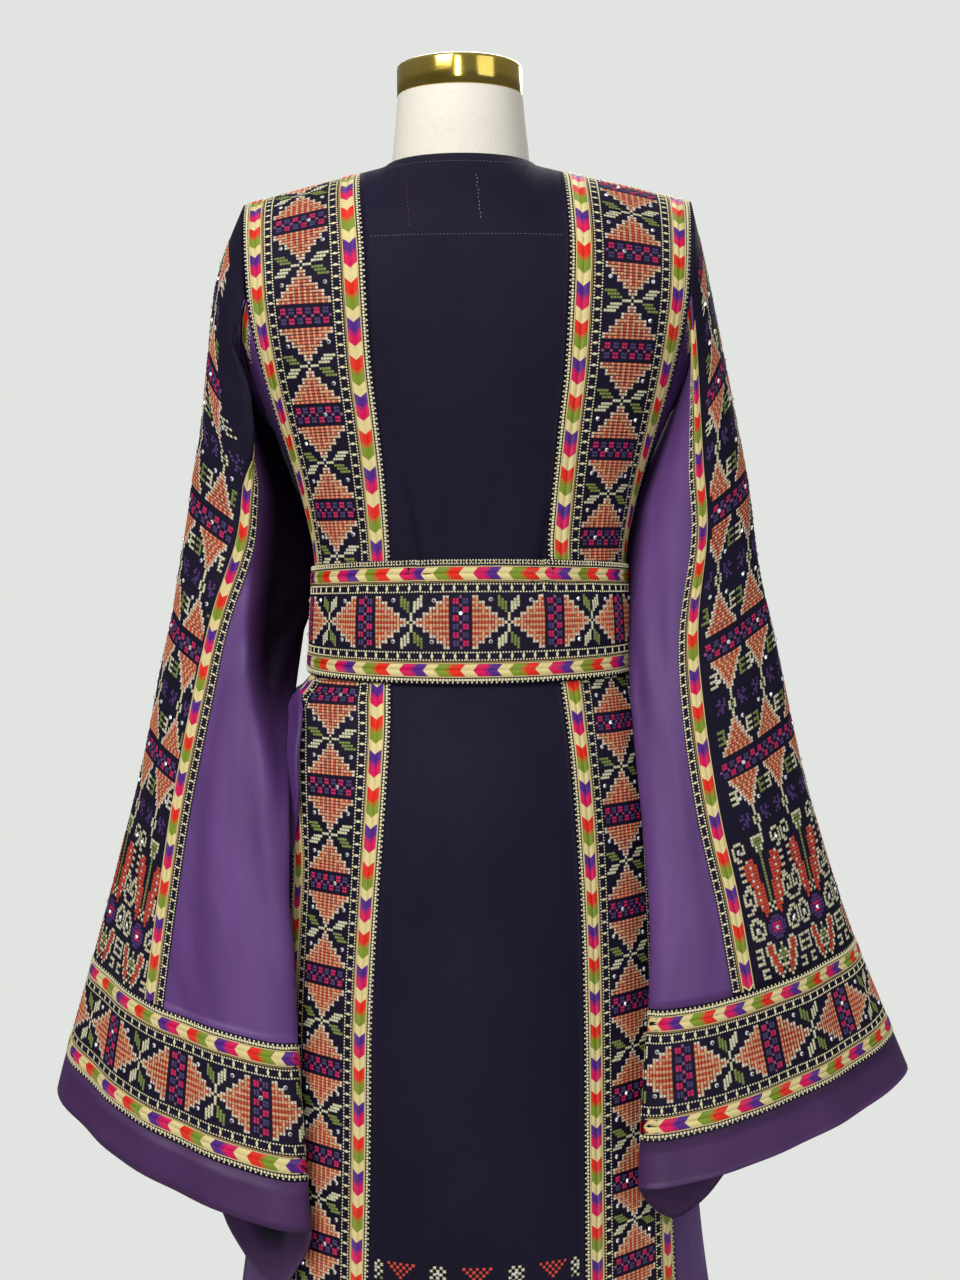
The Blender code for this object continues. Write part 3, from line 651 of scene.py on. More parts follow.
def crepe(name, dark, light):
    """Matte crepe: a fine pebbled grain, a faint twill and slow shifts of shade."""
    nodes = Nodes(
        name, light, 0.72, Sheen_Weight=0.05, Sheen_Roughness=0.4, Specular_IOR_Level=0.16,
        Sheen_Tint=srgb(96, 86, 140),
    )
    where = nodes.metres()
    shade = nodes.noise(where, 9, 3)
    nodes.link(nodes.ramp(shade, (0.30, dark), (0.72, light)), "Base Color")
    grain = nodes.noise(where, 1500, 2, 0.65)
    nodes.link(nodes.level(nodes.noise(where, 260, 2), 0.62, 0.82), "Roughness")
    twill = nodes.stripes(where, 330, "DIAGONAL", 1.5)
    soft = nodes.bump(nodes.noise(where, 28, 3), 0.0012, 0.35)
    woven = nodes.bump(twill, 0.00010, 0.5, soft)
    nodes.link(nodes.bump(grain, 0.00016, 0.8, woven), "Normal")
    return nodes.material


def satin(name, dark, light):
    """The nodes of a soft satin: fine warp threads, a broad sheen and shallow ripples."""
    nodes = Nodes(
        name, light, 0.44, Sheen_Weight=0.10, Sheen_Roughness=0.35, Specular_IOR_Level=0.30,
        Anisotropic=0.45, Sheen_Tint=srgb(178, 150, 215),
    )
    where = nodes.metres()
    long_noise = nodes.noise(nodes.scaled(where, 1.0, 0.22, 1.0), 24, 3)
    nodes.colour = nodes.ramp(long_noise, (0.32, dark), (0.70, light))
    nodes.link(nodes.colour, "Base Color")
    nodes.link(nodes.level(nodes.noise(where, 90, 2), 0.38, 0.50), "Roughness")
    ripple = nodes.bump(long_noise, 0.0020, 0.35)
    warp = nodes.bump(nodes.stripes(where, 420, "X", 0.6), 0.00008, 0.5, ripple)
    nodes.link(nodes.bump(nodes.noise(where, 1300, 1), 0.00006, 0.5, warp), "Normal")
    return nodes


def satin_with_painted_shade(name, dark, light):
    """The nodes of a satin with painted shade: nearly black and dull where its fold attribute is 1.
    """
    nodes = satin(name, dark, light)
    # Painted shade: where the fold attribute is 1, the colour is mixed to near-black and the
    # specular and sheen are turned down.
    fold = nodes.add("Attribute", attribute_name="painted_fold_shade").outputs["Fac"]
    links = {"Fac": fold, "Color1": nodes.colour}
    mixed = nodes.add("MixRGB", links, blend_type="MIX", Color2=srgb(17, 9, 22))
    nodes.link(mixed.outputs["Color"], "Base Color")
    nodes.link(nodes.level(fold, 0.30, 0.02), "Specular IOR Level")
    nodes.link(nodes.level(fold, 0.10, 0.0), "Sheen Weight")
    return nodes


def thread(name, colour, roughness=0.42):
    """The nodes of a floss: its own colour, a soft sheen and fine strands across each stitch."""
    nodes = Nodes(
        name, colour, roughness, Sheen_Weight=0.25, Sheen_Roughness=0.4, Specular_IOR_Level=0.45,
        Sheen_Tint=colour,
    )
    strands = nodes.stripes(nodes.metres(), 215, "Y", 0.4)
    nodes.link(nodes.bump(strands, 0.00045, 0.9), "Normal")
    return nodes


def crossed_thread(name, colour):
    """The floss of one cross, with a painted highlight where its strands cross and painted shade
    where they enter the cloth.
    """
    nodes = thread(name, colour, 0.6)
    away = nodes.add("VectorMath", {"Vector": nodes.metres()}, operation="LENGTH").outputs["Value"]
    share = nodes.add("MapRange", {"Value": away}, From_Min=0.0001, From_Max=0.00125)
    # Painted light: the colour is lighter at the middle of the cross and darker towards its ends.
    painted_highlight = (*(min(1.0, value * 1.55) for value in colour[:3]), 1)
    painted_edge_shade = (*(value * 0.62 for value in colour[:3]), 1)
    nodes.link(nodes.ramp(share.outputs["Result"], (0.0, painted_highlight), (1.0, painted_edge_shade)), "Base Color")
    return nodes


NAVY = crepe("navy_crepe_cloth", srgb(19, 14, 34), srgb(26, 20, 45))
# The satin of the side panels and the gores, with painted shade in their folds
PAINTED_SHADE_SATIN = satin_with_painted_shade("purple_satin_with_painted_shadow", srgb(82, 50, 108), srgb(104, 67, 132))
SATIN_WITH_PAINTED_SHADE = PAINTED_SHADE_SATIN.material
HEM_SATIN = satin("purple_hem_satin", srgb(66, 38, 82), srgb(82, 50, 98)).material

# The threads by the letters of the charts, and the threads of the trims by name
THREADS = {
    "c": ("thread_peach_cream", (252, 226, 196)),
    "p": ("thread_salmon", (252, 172, 130)),
    "o": ("thread_rust", (206, 80, 50)),
    "e": ("thread_cream", (238, 230, 186)),
    "g": ("thread_leaf_green", (128, 142, 70)),
    "r": ("thread_brick_red", (226, 74, 50)),
    "m": ("thread_magenta", (206, 24, 96)),
    "b": ("thread_dusk_blue", (74, 58, 112)),
    "u": ("thread_mauve", (146, 84, 140)),
    "v": ("thread_violet", (84, 48, 118)),
}
STITCH_NAMES = list(THREADS)
STITCH_MATERIALS = [
    crossed_thread(name, srgb(*colour)).material for name, colour in THREADS.values()
]
SATINS = {
    "cream": (246, 228, 160), "red": (246, 40, 14), "green": (136, 158, 40),
    "magenta": (232, 4, 92), "purple": (88, 32, 142), "line": (222, 202, 146),
    "bead": (238, 230, 186), "gilt": (190, 158, 92),
}
SATIN_NAMES = list(SATINS)
SATIN_MATERIALS = [
    thread("satin_stitch_" + name, srgb(*colour)).material for name, colour in SATINS.items()
]
TOPSTITCHES = {"navy": (92, 84, 122), "rust": (110, 58, 52), "grey": (140, 132, 148)}
TOPSTITCH_MATERIALS = [
    thread("topstitch_" + name, srgb(*colour), 0.6).material
    for name, colour in TOPSTITCHES.items()
]
# Painted reflection: the facets are coloured near white and the table darker grey, for the bright
# rim and the dark middle that a clear stone shows.
STONE = [
    Nodes("rhinestone_" + name, colour, roughness, Coat_Weight=1.0, Metallic=metallic).material
    for name, colour, roughness, metallic in (
        ("facets", srgb(240, 240, 246), 0.10, 0.35), ("table", srgb(168, 170, 182), 0.05, 0.8),
    )
]


# Embroidery

# A period of the diamond column, down the band: the strip of small squares, a triangle that points
# down, the cross with its four leaves, and a triangle that points up.
DIAMONDS = """
...................
.mm.bb.mm.bb.mm.bb.
.mm.bb.mm.bb.mm.bb.
u..u..u..u..u..u..u
.bb.mm.bb.mm.bb.mm.
.bb.mm.bb.mm.bb.mm.
...................
copopopopopopopopoc
cppppopopopopoppppc
..copopopopopopoc..
..cppppopopoppppc..
....copopopopoc....
....cppppoppppc....
......copopoc......
......cpppppc......
gggg....coc....eeee
.gggg...cpc...eeee.
..gggg...e...eeee..
......eee.eee......
..eeee...e...gggg..
.eeee...cpc...gggg.
eeee....coc....gggg
......cpppppc......
......copopoc......
....cppppoppppc....
....copopopopoc....
..cppppopopoppppc..
..copopopopopopoc..
cppppopopopopoppppc
copopopopopopopopoc
"""
# The row in the middle of that strip, at which every repeat is anchored
STRIP_ROW = 3.5

# A period of the sleeve's columns
SPRIGS = """
.................
..mm.bb.mm.bb.mm.
..mm.bb.mm.bb.mm.
.u..u..u..u..u..u
..bb.mm.bb.mm.bb.
..bb.mm.bb.mm.bb.
.................
..cpopopopopopc..
..cpopopopopopc..
...cpopopopopc...
....cpopopopc....
.gggcpopopopceee.
...g.cpopopc.e...
.ggg.cpopopc.eee.
...g..cpopc..e...
.ggg..cpopc..eee.
.......cpc.......
.......cpc.......
........c........
........e........
...v.v..e..v.v...
..vv.v..e..v.vv..
....vv.e.e.vv....
...vv..ege..vv...
..v.v..e.e..v.v..
........e........
........e........
........c........
.......cpc.......
.......cpc.......
.eee..cpopc..ggg.
...e..cpopc..g...
.eee.cpopopc.ggg.
...e.cpopopc.g...
.eeecpopopopcggg.
....cpopopopc....
...cpopopopopc...
..cpopopopopopc..
..cpopopopopopc..
.................
"""

# Half of the composition above the cuff, from its centre line out
FEATHERS = """
eee....eee.
gge...e...e
gge...e.e.e
ge....ee..e
ge.......ee
g.......ee.
g...rrc....
g...rrrree.
g..rrcrr...
g..rrrrree.
g..rrcrr...
g..rrrrree.
g..rrcr....
g..rrrree..
g.rrcr.eee.
g.rrrree.ee
g.rrcre...e
g.rrrre.e.e
g.rrcre.eee
g.rrrree...
.errc..ee..
e.rrr...eee
.err.......
...r...eee.
vv....ee.ee
vvv..ee...e
mmvv.e..e.e
mmvv.e.ee.e
mmvv.ee..ee
vvv...eeee.
vv.........
....ee.....
e..erre.eee
g..erre.e..
ge.erre.eee
ggerre..e..
geerre..eee
g.erre.....
eerre..eee.
g.rre....e.
.ere...eee.
..e........
"""

# The border over the embroidery at the skirt's hem
HEM_TRIANGLE = """
r.r.r.r.r
.r.r.r.r.
..r.r.r..
...r.r...
....r....
"""
HEM_SPRAY = """
..e.e..
.e.e.e.
..eee..
.e.e.e.
..e.e..
.g.e.g.
"""


def chart(text, mirrored=False):
    rows = text.split()
    if mirrored:
        rows = [row[:0:-1] + row for row in rows]
    return np.array([list(row) for row in rows])


def stamp(work, lane, across, along, template, faces, slots, smooth=False, size=1.0):
    """Copies of a small shape at places on the lane, its x across, its y along and its z out."""
    across, along = np.broadcast_arrays(across, along)
    point, right, down, out = lane.axes(across, along)
    template = np.array(template)
    places = point[:, None] + (
        right[:, None] * (template[:, 0] * size)[..., None]
        + down[:, None] * (template[:, 1] * size)[..., None]
        + out[:, None] * template[:, 2:]
    )
    indices = np.array(faces) + (np.arange(len(across)) * len(template))[:, None, None]
    uvs = np.broadcast_to(template[:, :2], (len(across), len(template), 2))
    work.add(places, indices.reshape(-1, 3), slots, uvs, smooth)


def circle(sides, radius, height, stretch=1.0):
    turns = np.arange(sides) * 2 * pi / sides
    levels = np.full(sides, height)
    return np.stack([np.cos(turns) * radius, np.sin(turns) * radius * stretch, levels], 1)


# Half a strand's length and width and how much lower than square a cross lies, in shares of a cell
STRAND_REACH, STRAND_WIDTH, CROSS_FALL = 0.44, 0.235, 0.84
STRAND_LIFT, STRAND_TOPS = 0.00012, (0.00052, 0.00068)
# How much crosses vary in size, and how far domes start above the cloth
CROSS_WOBBLE, DOME_LIFT = 0.06, 0.0001


def crossed(work, lane, across, along, slots, size, ratio):
    """Cross stitches: two raised strands over each other, with a peak where they cross."""
    if len(across) == 0:
        return
    half, wide = size * STRAND_REACH, size * STRAND_WIDTH * 0.7
    template, faces = [], []
    for turn, top in zip((1, -1), STRAND_TOPS):
        a, b, c, d, peak = range(len(template), len(template) + 5)
        for end in (-1, 1):
            x, y = end * half, end * turn * half * ratio * CROSS_FALL
            template += [
                (x - wide * turn, y + wide, STRAND_LIFT), (x + wide * turn, y - wide, STRAND_LIFT),
            ]
        template += [(0, 0, top)]
        faces += [(a, b, peak), (c, d, peak), (a, c, peak), (b, d, peak)]
    wobble = 1 + CROSS_WOBBLE * dice.standard_normal((len(across), 1))
    slots = np.repeat(slots, len(faces))
    stamp(work, lane, across, along, template, faces, slots, size=wobble)


def domes(work, lane, across, along, radius, height, slot, sides, stretch=1.0):
    """Small rounded cones, such as beads and chain links."""
    template = [*circle(sides, radius, DOME_LIFT, stretch), (0, 0, height)]
    faces = [(k, (k + 1) % sides, sides) for k in range(sides)]
    stamp(work, lane, across, along, template, faces, slot, smooth=True)


def ribbon(work, lane, edges, heights, lines, slots, slant=0.0):
    """A raised strip whose profile is read at the edges and whose rows are the lines along it."""
    lines = np.asarray(lines)
    across = np.broadcast_to(edges, (len(lines), len(edges)))
    along = np.broadcast_to(lines[:, None], across.shape)
    uvs = np.stack([across, along], axis=-1)
    along = along + slant
    along = np.clip(along, 0, lane.patch.length) if not lane.patch.ring else along
    points = lane.at(across, along, np.broadcast_to(heights, across.shape))
    faces = grid_faces(len(lines), len(edges))
    work.add(points, faces, np.repeat(slots, len(edges) - 1), uvs)


# The satin steps of a repeat, from -0.09 on: each one's colour and the share where it ends
CHEVRON = (
    ("red", 0.072), ("green", 0.089), ("red", 0.106), ("green", 0.26), ("cream", 0.41),
    ("purple", 0.552), ("magenta", 0.569), ("purple", 0.586), ("magenta", 0.73), ("cream", 0.91),
)
# Its profile from edge to edge, by shares of half its width; then the width of its cream borders,
# how far its middle runs ahead, its longest row and the shortest step that is still stitched
CHEVRON_SHARES = np.array((-1, -0.86, -0.48, -0.12, 0, 0.12, 0.48, 0.86, 1))
CHEVRON_HEIGHTS = (0.0003, 0.0009, 0.0011, 0.0009, 0.0001, 0.0009, 0.0011, 0.0009, 0.0003)
CHEVRON_BORDER, CHEVRON_TILT, CHEVRON_ROW = 0.0011, 0.0044, 0.0075
SHORTEST_STEP = 0.0001
# How far apart the repeats are where the photo doesn't show them one by one
STEP_PITCH = 0.0615


def chevrons(work, lane, track, start, end, near, far, backward=False):
    """Satin stitch in two slanted halves, in coloured steps with cream edges."""
    first, last = int(track.repeat(start)) - 2, int(track.repeat(end)) + 2
    lines, slots = [start], []
    for repeat in range(first, last):
        for name, share in CHEVRON:
            low, high = lines[-1], min(float(track.place(repeat + share)), end)
            if high <= low + SHORTEST_STEP:
                continue
            parts = max(1, round((high - low) / CHEVRON_ROW))
            lines += [low + (high - low) * part / parts for part in range(1, parts + 1)]
            slots += [SATIN_NAMES.index(name)] * parts
    inner = (near + far) / 2 + CHEVRON_SHARES * ((far - near) / 2 - CHEVRON_BORDER)
    tilt = CHEVRON_TILT * (0.2 - np.abs(CHEVRON_SHARES)) * (-1 if backward else 1)
    ribbon(work, lane, inner, CHEVRON_HEIGHTS, lines, slots, tilt)
    for edge in (near, far - CHEVRON_BORDER):
        line(work, lane, edge, edge + CHEVRON_BORDER, start, end, "line", 0.0009)


def line(work, lane, near, far, start, end, name, height):
    """A thin raised strip of one colour."""
    rows = np.linspace(start, end, max(2, round((end - start) / 0.0085)) + 1)
    slots = [SATIN_NAMES.index(name)] * (len(rows) - 1)
    inset = (far - near) * 0.22
    edges, heights = (near, near + inset, far - inset, far), (0.0, height, height, 0.0)
    ribbon(work, lane, edges, heights, rows, slots)


BEAD_SLOT = SATIN_NAMES.index("bead")
LINK_RADIUS, LINK_PITCH, RUNG_PITCH = 0.00088, 0.0025, 0.0092
BEAD_PITCH, PICOT_PITCH = 0.0027, 0.0043


def ladder(work, lane, near, far, start, end, rung=RUNG_PITCH):
    """Two rows of chain stitch joined by rungs."""
    links = np.arange(start + 0.0014, end - END_GAP, LINK_PITCH)
    for across in (near + LINK_RADIUS, far - LINK_RADIUS):
        domes(work, lane, across, links, LINK_RADIUS, 0.0009, BEAD_SLOT, 4, 1.05)
    rungs = np.arange(start + rung / 2, end - END_GAP, rung)
    reach = (far - near) / 2 - LINK_RADIUS
    domes(work, lane, (near + far) / 2, rungs, reach, 0.0008, BEAD_SLOT, 4, 0.36)


def beaded_edge(work, lane, bead, picot, start, end):
    """A chain of beads with small picot stitches beside it."""
    beads = np.arange(start + 0.0015, end - END_GAP, BEAD_PITCH)
    domes(work, lane, bead, beads, 0.00125, 0.0011, BEAD_SLOT, 6)
    picots = np.arange(start + 0.0020, end - END_GAP, PICOT_PITCH)
    domes(work, lane, picot, picots, 0.00105, 0.0009, BEAD_SLOT, 5, 0.80)


def stitches(work, lane, pattern, track, start, end, cell=CELL, anchor=STRIP_ROW, offset=0.0,
             keep=None, turned=False):
    """Repeats a chart down the lane, along the track."""
    rows, columns = pattern.shape
    numbers, places, middles = track.rows(start, end, rows, anchor)
    if len(numbers) < 2:
        return
    picked = pattern[numbers % rows]
    if turned:
        picked = picked[:, ::-1]
    row, column = np.nonzero(picked != ".")
    across = middles[row] + offset + (column - (columns - 1) / 2) * cell
    along = places[row]
    letters = picked[row, column]
    if keep is not None:
        kept = keep(across, along)
        across, along, letters = across[kept], along[kept], letters[kept]
    slots = np.array([STITCH_NAMES.index(letter) for letter in letters], int)
    crossed(work, lane, across, along, slots, cell, float(np.median(np.diff(places))) / cell)


# The rings of a stone, from its foot to the edge of its table: radius and height
STONE_SIDES, STONE_RADIUS, STONE_HEIGHT = 8, 0.0019, 0.0016
STONE_RINGS = (
    (STONE_RADIUS, 0.0002), (STONE_RADIUS, 0.0007), (STONE_RADIUS * 0.58, STONE_HEIGHT),
)


def stones(work, lane, spots):
    """Faceted rhinestones at places across and along the lane."""
    if not len(spots):
        return
    sides = STONE_SIDES
    rings = [circle(sides, radius, height) for radius, height in STONE_RINGS]
    template = np.vstack([*rings, [[0, 0, STONE_HEIGHT]]])
    faces = []
    for low in (0, sides):
        for k in range(sides):
            here, after = low + k, low + (k + 1) % sides
            faces += [(here, after, sides + after), (here, sides + after, sides + here)]
    faces += [(2 * sides + k, 2 * sides + (k + 1) % sides, 3 * sides) for k in range(sides)]
    slots = np.where(np.arange(len(faces)) < 4 * sides, 0, 1)
    stamp(work, lane, *np.transpose(spots), template, faces, np.tile(slots, len(spots)))


# Where stones sit in a repeat: cells across from its middle, the row, and how often one is there
DIAMOND_STONES = (
    (-3.2, 3.5, 0.5), (-7.8, 11.5, 0.85), (6.9, 12.3, 0.85), (-8.0, 24.1, 0.85), (6.9, 24.2, 0.85),
)
SPRIG_STONES = (
    (-1.0, 3.5, 0.9), (-3.2, 16.6, 0.8), (4.0, 14.4, 0.8), (-3.4, 28.8, 0.8), (3.6, 27.4, 0.8),
)
# How far stones stay from the ends of a lane
STONE_GAP = 0.004


def kept_spots(spots, keep):
    return [spot for spot in spots if keep(*np.array(spot)[:, None])[0]]


def stone_spots(track, start, end, rows, cell, table, offset=0.0):
    spots = []
    for repeat in range(int(track.repeat(start)) - 2, int(track.repeat(end)) + 2):
        for across, row, chance in table:
            at = repeat + (row - STRIP_ROW) / rows
            along = float(track.place(at))
            if start + STONE_GAP < along < end - STONE_GAP and dice.random() < chance:
                spots.append((float(track.middle(at)) + offset + across * cell, along))
    return spots


# How the trims lie across a band of the full width, in metres from one edge
PICOT, BEAD = 0.0021, 0.0043
CHEVRON_SPAN = (0.0063, 0.0197)
THIN_LINE = (0.0202, 0.0208)
LADDER_SPAN = (0.0216, 0.0302)
# The belt's upper edge has a short ladder for beads
EDGE_LADDER_SPAN, EDGE_RUNG_PITCH = (0.0004, 0.0050), 0.0040


def band_trims(work, lane, steps, start, end, backward, rung, belt):
    """The two trims that frame a band."""
    for flipped in (False, True):
        def placed_at(*values):
            return sorted(BAND_WIDTH - value if flipped else value for value in values)
        if belt and not flipped:
            ladder(work, lane, *EDGE_LADDER_SPAN, start, end, EDGE_RUNG_PITCH)
        else:
            beaded_edge(work, lane, *placed_at(BEAD), *placed_at(PICOT), start, end)
        chevrons(work, lane, steps, start, end, *placed_at(*CHEVRON_SPAN), backward)
        line(work, lane, *placed_at(*THIN_LINE), start, end, "gilt", 0.0005)
        ladder(work, lane, *placed_at(*LADDER_SPAN), start, end, rung)


def embroidered_band(
    name, lane, steps, strips, gap=END_GAP, backward=False, cell=CELL, turned=False, belt=False,
    rung=RUNG_PITCH,
):
    """Trims, diamonds and stones of a band; returns its pieces."""
    trims, threads, gems = Work(), Work(), Work()
    start, end, middle = gap, lane.patch.length - gap, BAND_WIDTH / 2
    band_trims(trims, lane, steps, start, end, backward, rung, belt)
    pattern = chart(DIAMONDS)
    stitches(threads, lane, pattern, strips, start, end, cell, offset=middle, turned=turned)
    spots = stone_spots(strips, start, end, len(pattern), cell, DIAMOND_STONES, middle)
    stones(gems, lane, spots)
    return [
        trims.finish("trims_" + name, SATIN_MATERIALS),
        threads.finish("stitches_" + name, STITCH_MATERIALS),
        gems.finish("stones_" + name, STONE),
    ]


def finish_cloth(
    name, patch, material, extras=(), thickness=CLOTH, shade=None,
):
    """Makes a cloth piece and hides its CAD node; extras, the pieces sewn on it, are not used."""
    piece = cloth("cloth_" + name, patch, thickness, material, shade)
    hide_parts(name)
    across, along = float(patch.widths.max()), patch.length
    area = min(float(patch.area()), across * along)


# The body

def worn_patch(facing, points, count=None):
    """The patch of points as they are worn, from the top down."""
    grid = worn(points, facing)[::-1]
    return Patch(grid if count is None else evenly(grid, count))


# Where the chevrons' red steps and the strips of small squares fall down each band
BAND_STEPS = {
    "back_band_left": Track(((0, 0.092), (4, 0.341), (7, 0.522), (9, 0.644), (14, 0.918))),
    "back_band_right": Track(((0, 0.066), (5, 0.372), (7, 0.487), (10, 0.667), (15, 0.935))),
    "front_band_left": even(0.050, 0.0610), "front_band_right": even(0.034, 0.0610),
}
LEFT_STRIPS = (
    0.0891, 0.1739, 0.2563, 0.3373, 0.4164, 0.4955, 0.5769, 0.6564, 0.7330, 0.8067, 0.8790, 0.9497,
)
RIGHT_STRIPS = (
    0.1228, 0.2047, 0.2879, 0.3627, 0.4421, 0.5214, 0.6004, 0.6787, 0.7564, 0.8291, 0.9000, 0.9659,
)
BAND_STRIPS = {
    "back_band_left": Track(tuple(enumerate(LEFT_STRIPS)), after=0.0750),
    "back_band_right": Track(tuple(enumerate(RIGHT_STRIPS)), after=0.0740),
    "front_band_left": even(0.070, 0.0775), "front_band_right": even(0.045, 0.0775),
}
FACINGS = {"back": BACK, "front": FRONT}
for word, facing in FACINGS.items():
    for side_word, side in SIDES.items():
        name = f"{word}_band_{side_word}"
        patch = worn_patch(facing, band_points(facing, side, np.linspace(0, 1, 41)), 17)
        extras = embroidered_band(
            name, Lane(patch, scale=BAND_WIDTH), BAND_STEPS[name], BAND_STRIPS[name],
            turned=facing == side,
        )
        finish_cloth(name, patch, NAVY, extras)


class BackPanel:
    """The back centre panel, read by metres from its centre line and its height.

    Where turned is set, its directions across and along are changed over.
    """

    def __init__(self, turned=False):
        self.turned = turned

    def surface(self, across, height):
        return worn(flat_point(BACK, angle_at(across, height), height), BACK)

    def axes(self, across, height):
        right = unit(self.surface(across + PROBE, height) - self.surface(across - PROBE, height))
        down = unit(self.surface(across, height - PROBE) - self.surface(across, height + PROBE))
        out = unit(np.cross(down, right))
        point = self.surface(across, height)
        return (point, down, right, out) if self.turned else (point, right, down, out)


# Topstitching under the neck, and a few tacks below it
work = Work()
for height, reach in ((1.382, 0.078), (1.4475, 0.064)):
    places = np.arange(-reach, reach + 0.0005, 0.0030)
    domes(work, BackPanel(turned=True), places, height, 0.0004, 0.0005, 0, 4, 3.0)
for slot, across, low, high in ((1, -0.046, 1.390, 1.428), (2, 0.013, 1.396, 1.436)):
    heights = np.arange(low, high, 0.0034)
    across = across + 0.0005 * np.sin(np.arange(len(heights)) * 2.1)
    domes(work, BackPanel(), across, heights, 0.00032, 0.0004, slot, 4, 4.0)
extras = [work.finish("topstitch_back_panel", TOPSTITCH_MATERIALS)]

# The embroidery at the hem of the back panel
HEM_FIELD_TOP = 0.561
shares = np.linspace(0, 1, 24)
low = np.hstack([centre_points(BACK, -1, shares)[:, :0:-1], centre_points(BACK, 1, shares)])
low = low[LOW_ROWS.size - 1::-1]
low = low[low[:, len(shares) - 1, 2] < HEM_FIELD_TOP]
hem_patch = Patch(evenly(worn(low, BACK), 25))
hem_lane = Lane(hem_patch, start=0.5)
work, gems = Work(), Work()


def inside_hem(across, along):
    return np.abs(across) < hem_patch.width(along) / 2 - 0.004


def motif(pattern, middle, start, row):
    """One chart in the hem's field, its first row at start."""
    height = len(pattern) * row
    stitches(
        work, hem_lane, pattern, even(start, height), start, start + height, anchor=0,
        offset=middle, keep=inside_hem,
    )


SPRAY_MIDDLES = (-0.085, -0.0315, 0.0315, 0.085)
for text, middles in ((HEM_TRIANGLE, (-0.0625, 0, 0.0625)), (HEM_SPRAY, SPRAY_MIDDLES)):
    for middle in middles:
        motif(chart(text), middle, 0.0005, CELL)
for copy in (-1, 0, 1):
    motif(chart(FEATHERS, True), copy * 0.0575, 0.022, 0.0027)
    stitches(
        work, hem_lane, chart(SPRIGS), even(0.1565, 0.1080), 0.146, hem_patch.length - 0.030,
        offset=copy * 0.0500, keep=inside_hem,
    )
extras.append(work.finish("stitches_back_hem", STITCH_MATERIALS))
stones(gems, hem_lane, [(middle, 0.0071) for middle in SPRAY_MIDDLES[1:3]])
extras.append(gems.finish("stones_back_hem", STONE))

half_shares = np.concatenate([
    np.linspace(0, NECK_POINT_SHARE, 18), np.linspace(NECK_POINT_SHARE, 1, 6)[1:],
])
for word, facing in FACINGS.items():
    left, right = (centre_points(facing, side, half_shares) for side in (-1, 1))
    patch = worn_patch(facing, np.hstack([left[:, :0:-1], right]))
    sewn = extras if facing == BACK else ()
    finish_cloth(f"{word}_centre_panel", patch, NAVY, sewn)

SIDE_COLUMNS = 31
# How far the left panel's puff below the belt stands out, over the outer trim of the back band
SIDE_PUFF = (0.0205, -0.0430, 0.0)
# The part of the panel's back along the armhole that has a trim: rows from the top and columns from
# the band, how far the trim reaches, and where its parts lie across it
TRIM_ROWS, TRIM_COLUMNS, TRIM_REACH = 14, 19, 0.024
TRIM_START, TRIM_CHEVRONS, TRIM_LADDER = 0.0015, (0.0016, 0.0150), (0.0165, 0.0232)
for side_word, side in SIDES.items():
    shares = np.linspace(0, 1, SIDE_COLUMNS)
    behind, before = (worn(side_points(facing, side, shares), facing) for facing in (BACK, FRONT))
    grid = evenly(np.hstack([behind, before[:, -2::-1]]), SIDE_COLUMNS)[::-1]
    if side_word == "left":
        column = np.arange(SIDE_COLUMNS)
        puff = bell(column, 3.4, 2.3) * np.clip(column / 1.5, 0, 1)
        puff = puff * window(grid[..., 2], 0.83, 0.93, 0.992, 1.010)
        grid = grid + puff[..., None] * SIDE_PUFF
    patch = Patch(grid)
    corner = np.transpose(behind[::-1][:TRIM_ROWS], (1, 0, 2))[:TRIM_COLUMNS]
    lane = Lane(Patch(evenly(corner, 40)))
    reach = min(lane.patch.length, TRIM_REACH)
    work = Work()
    chevrons(work, lane, even(0.0037, STEP_PITCH), TRIM_START, reach, *TRIM_CHEVRONS)
    ladder(work, lane, *TRIM_LADDER, TRIM_START, reach)
    extra = work.finish("trims_armhole_" + side_word, SATIN_MATERIALS)
    # Painted shade: the back of each side panel is drawn nearly black from below the armhole down
    # to the belt, beside the sleeve.
    dark = window(patch.points[..., 2], 1.08, 1.13, 1.180, 1.262)
    dark = dark * smooth_step(patch.points[..., 1], 0.04, 0.0) * 0.85
    finish_cloth(
        "side_panel_" + side_word, patch, SATIN_WITH_PAINTED_SHADE, [extra],
        shade=dark,
    )


# The belt

def waist_ring(height):
    """Points round the waist, from the middle of the front by the right side and the back."""
    quarter = np.linspace(0, pi / 2, 120)
    arcs = (
        (FRONT, quarter), (BACK, quarter[-2::-1]), (BACK, -quarter[1:]), (FRONT, -quarter[-2::-1]),
    )
    return np.vstack([worn(flat_point(facing, angles, height), facing) for facing, angles in arcs])


BELT_CROWN, LAP_RISE = 0.0008, 0.028


def belt_patch():
    """The belt's outside, from its start under the lap round the back to its end over the lap."""
    run = runs(waist_ring(BELT_MIDDLE))
    girth = run[-1]
    places = np.linspace(0, girth + BELT_OVERLAP, 170)
    at = places % girth
    narrowed = 0.86 + 0.14 * np.cos(pi - 2 * pi * at / girth)
    shares = np.linspace(-1, 1, 15)
    reach = np.where(shares > 0, BELT_TOP - BELT_MIDDLE, BELT_MIDDLE - BELT_BOTTOM)
    heights = BELT_MIDDLE + shares * narrowed[:, None] * reach
    levels = np.linspace(BELT_BOTTOM, BELT_TOP, 22)
    rings = np.array([points_at(waist_ring(level), run, at) for level in levels])
    grid = np.array([
        points_at(rings[:, index], levels, heights[index]) for index in range(len(places))
    ])
    lap = BELT_LAP * np.clip((places - (girth - LAP_RISE)) / LAP_RISE, 0, 1)
    off = BELT_OFF + lap[:, None] + BELT_CROWN * (1 - shares ** 2)
    return Patch(grid + Patch(grid).normals * off[..., None])


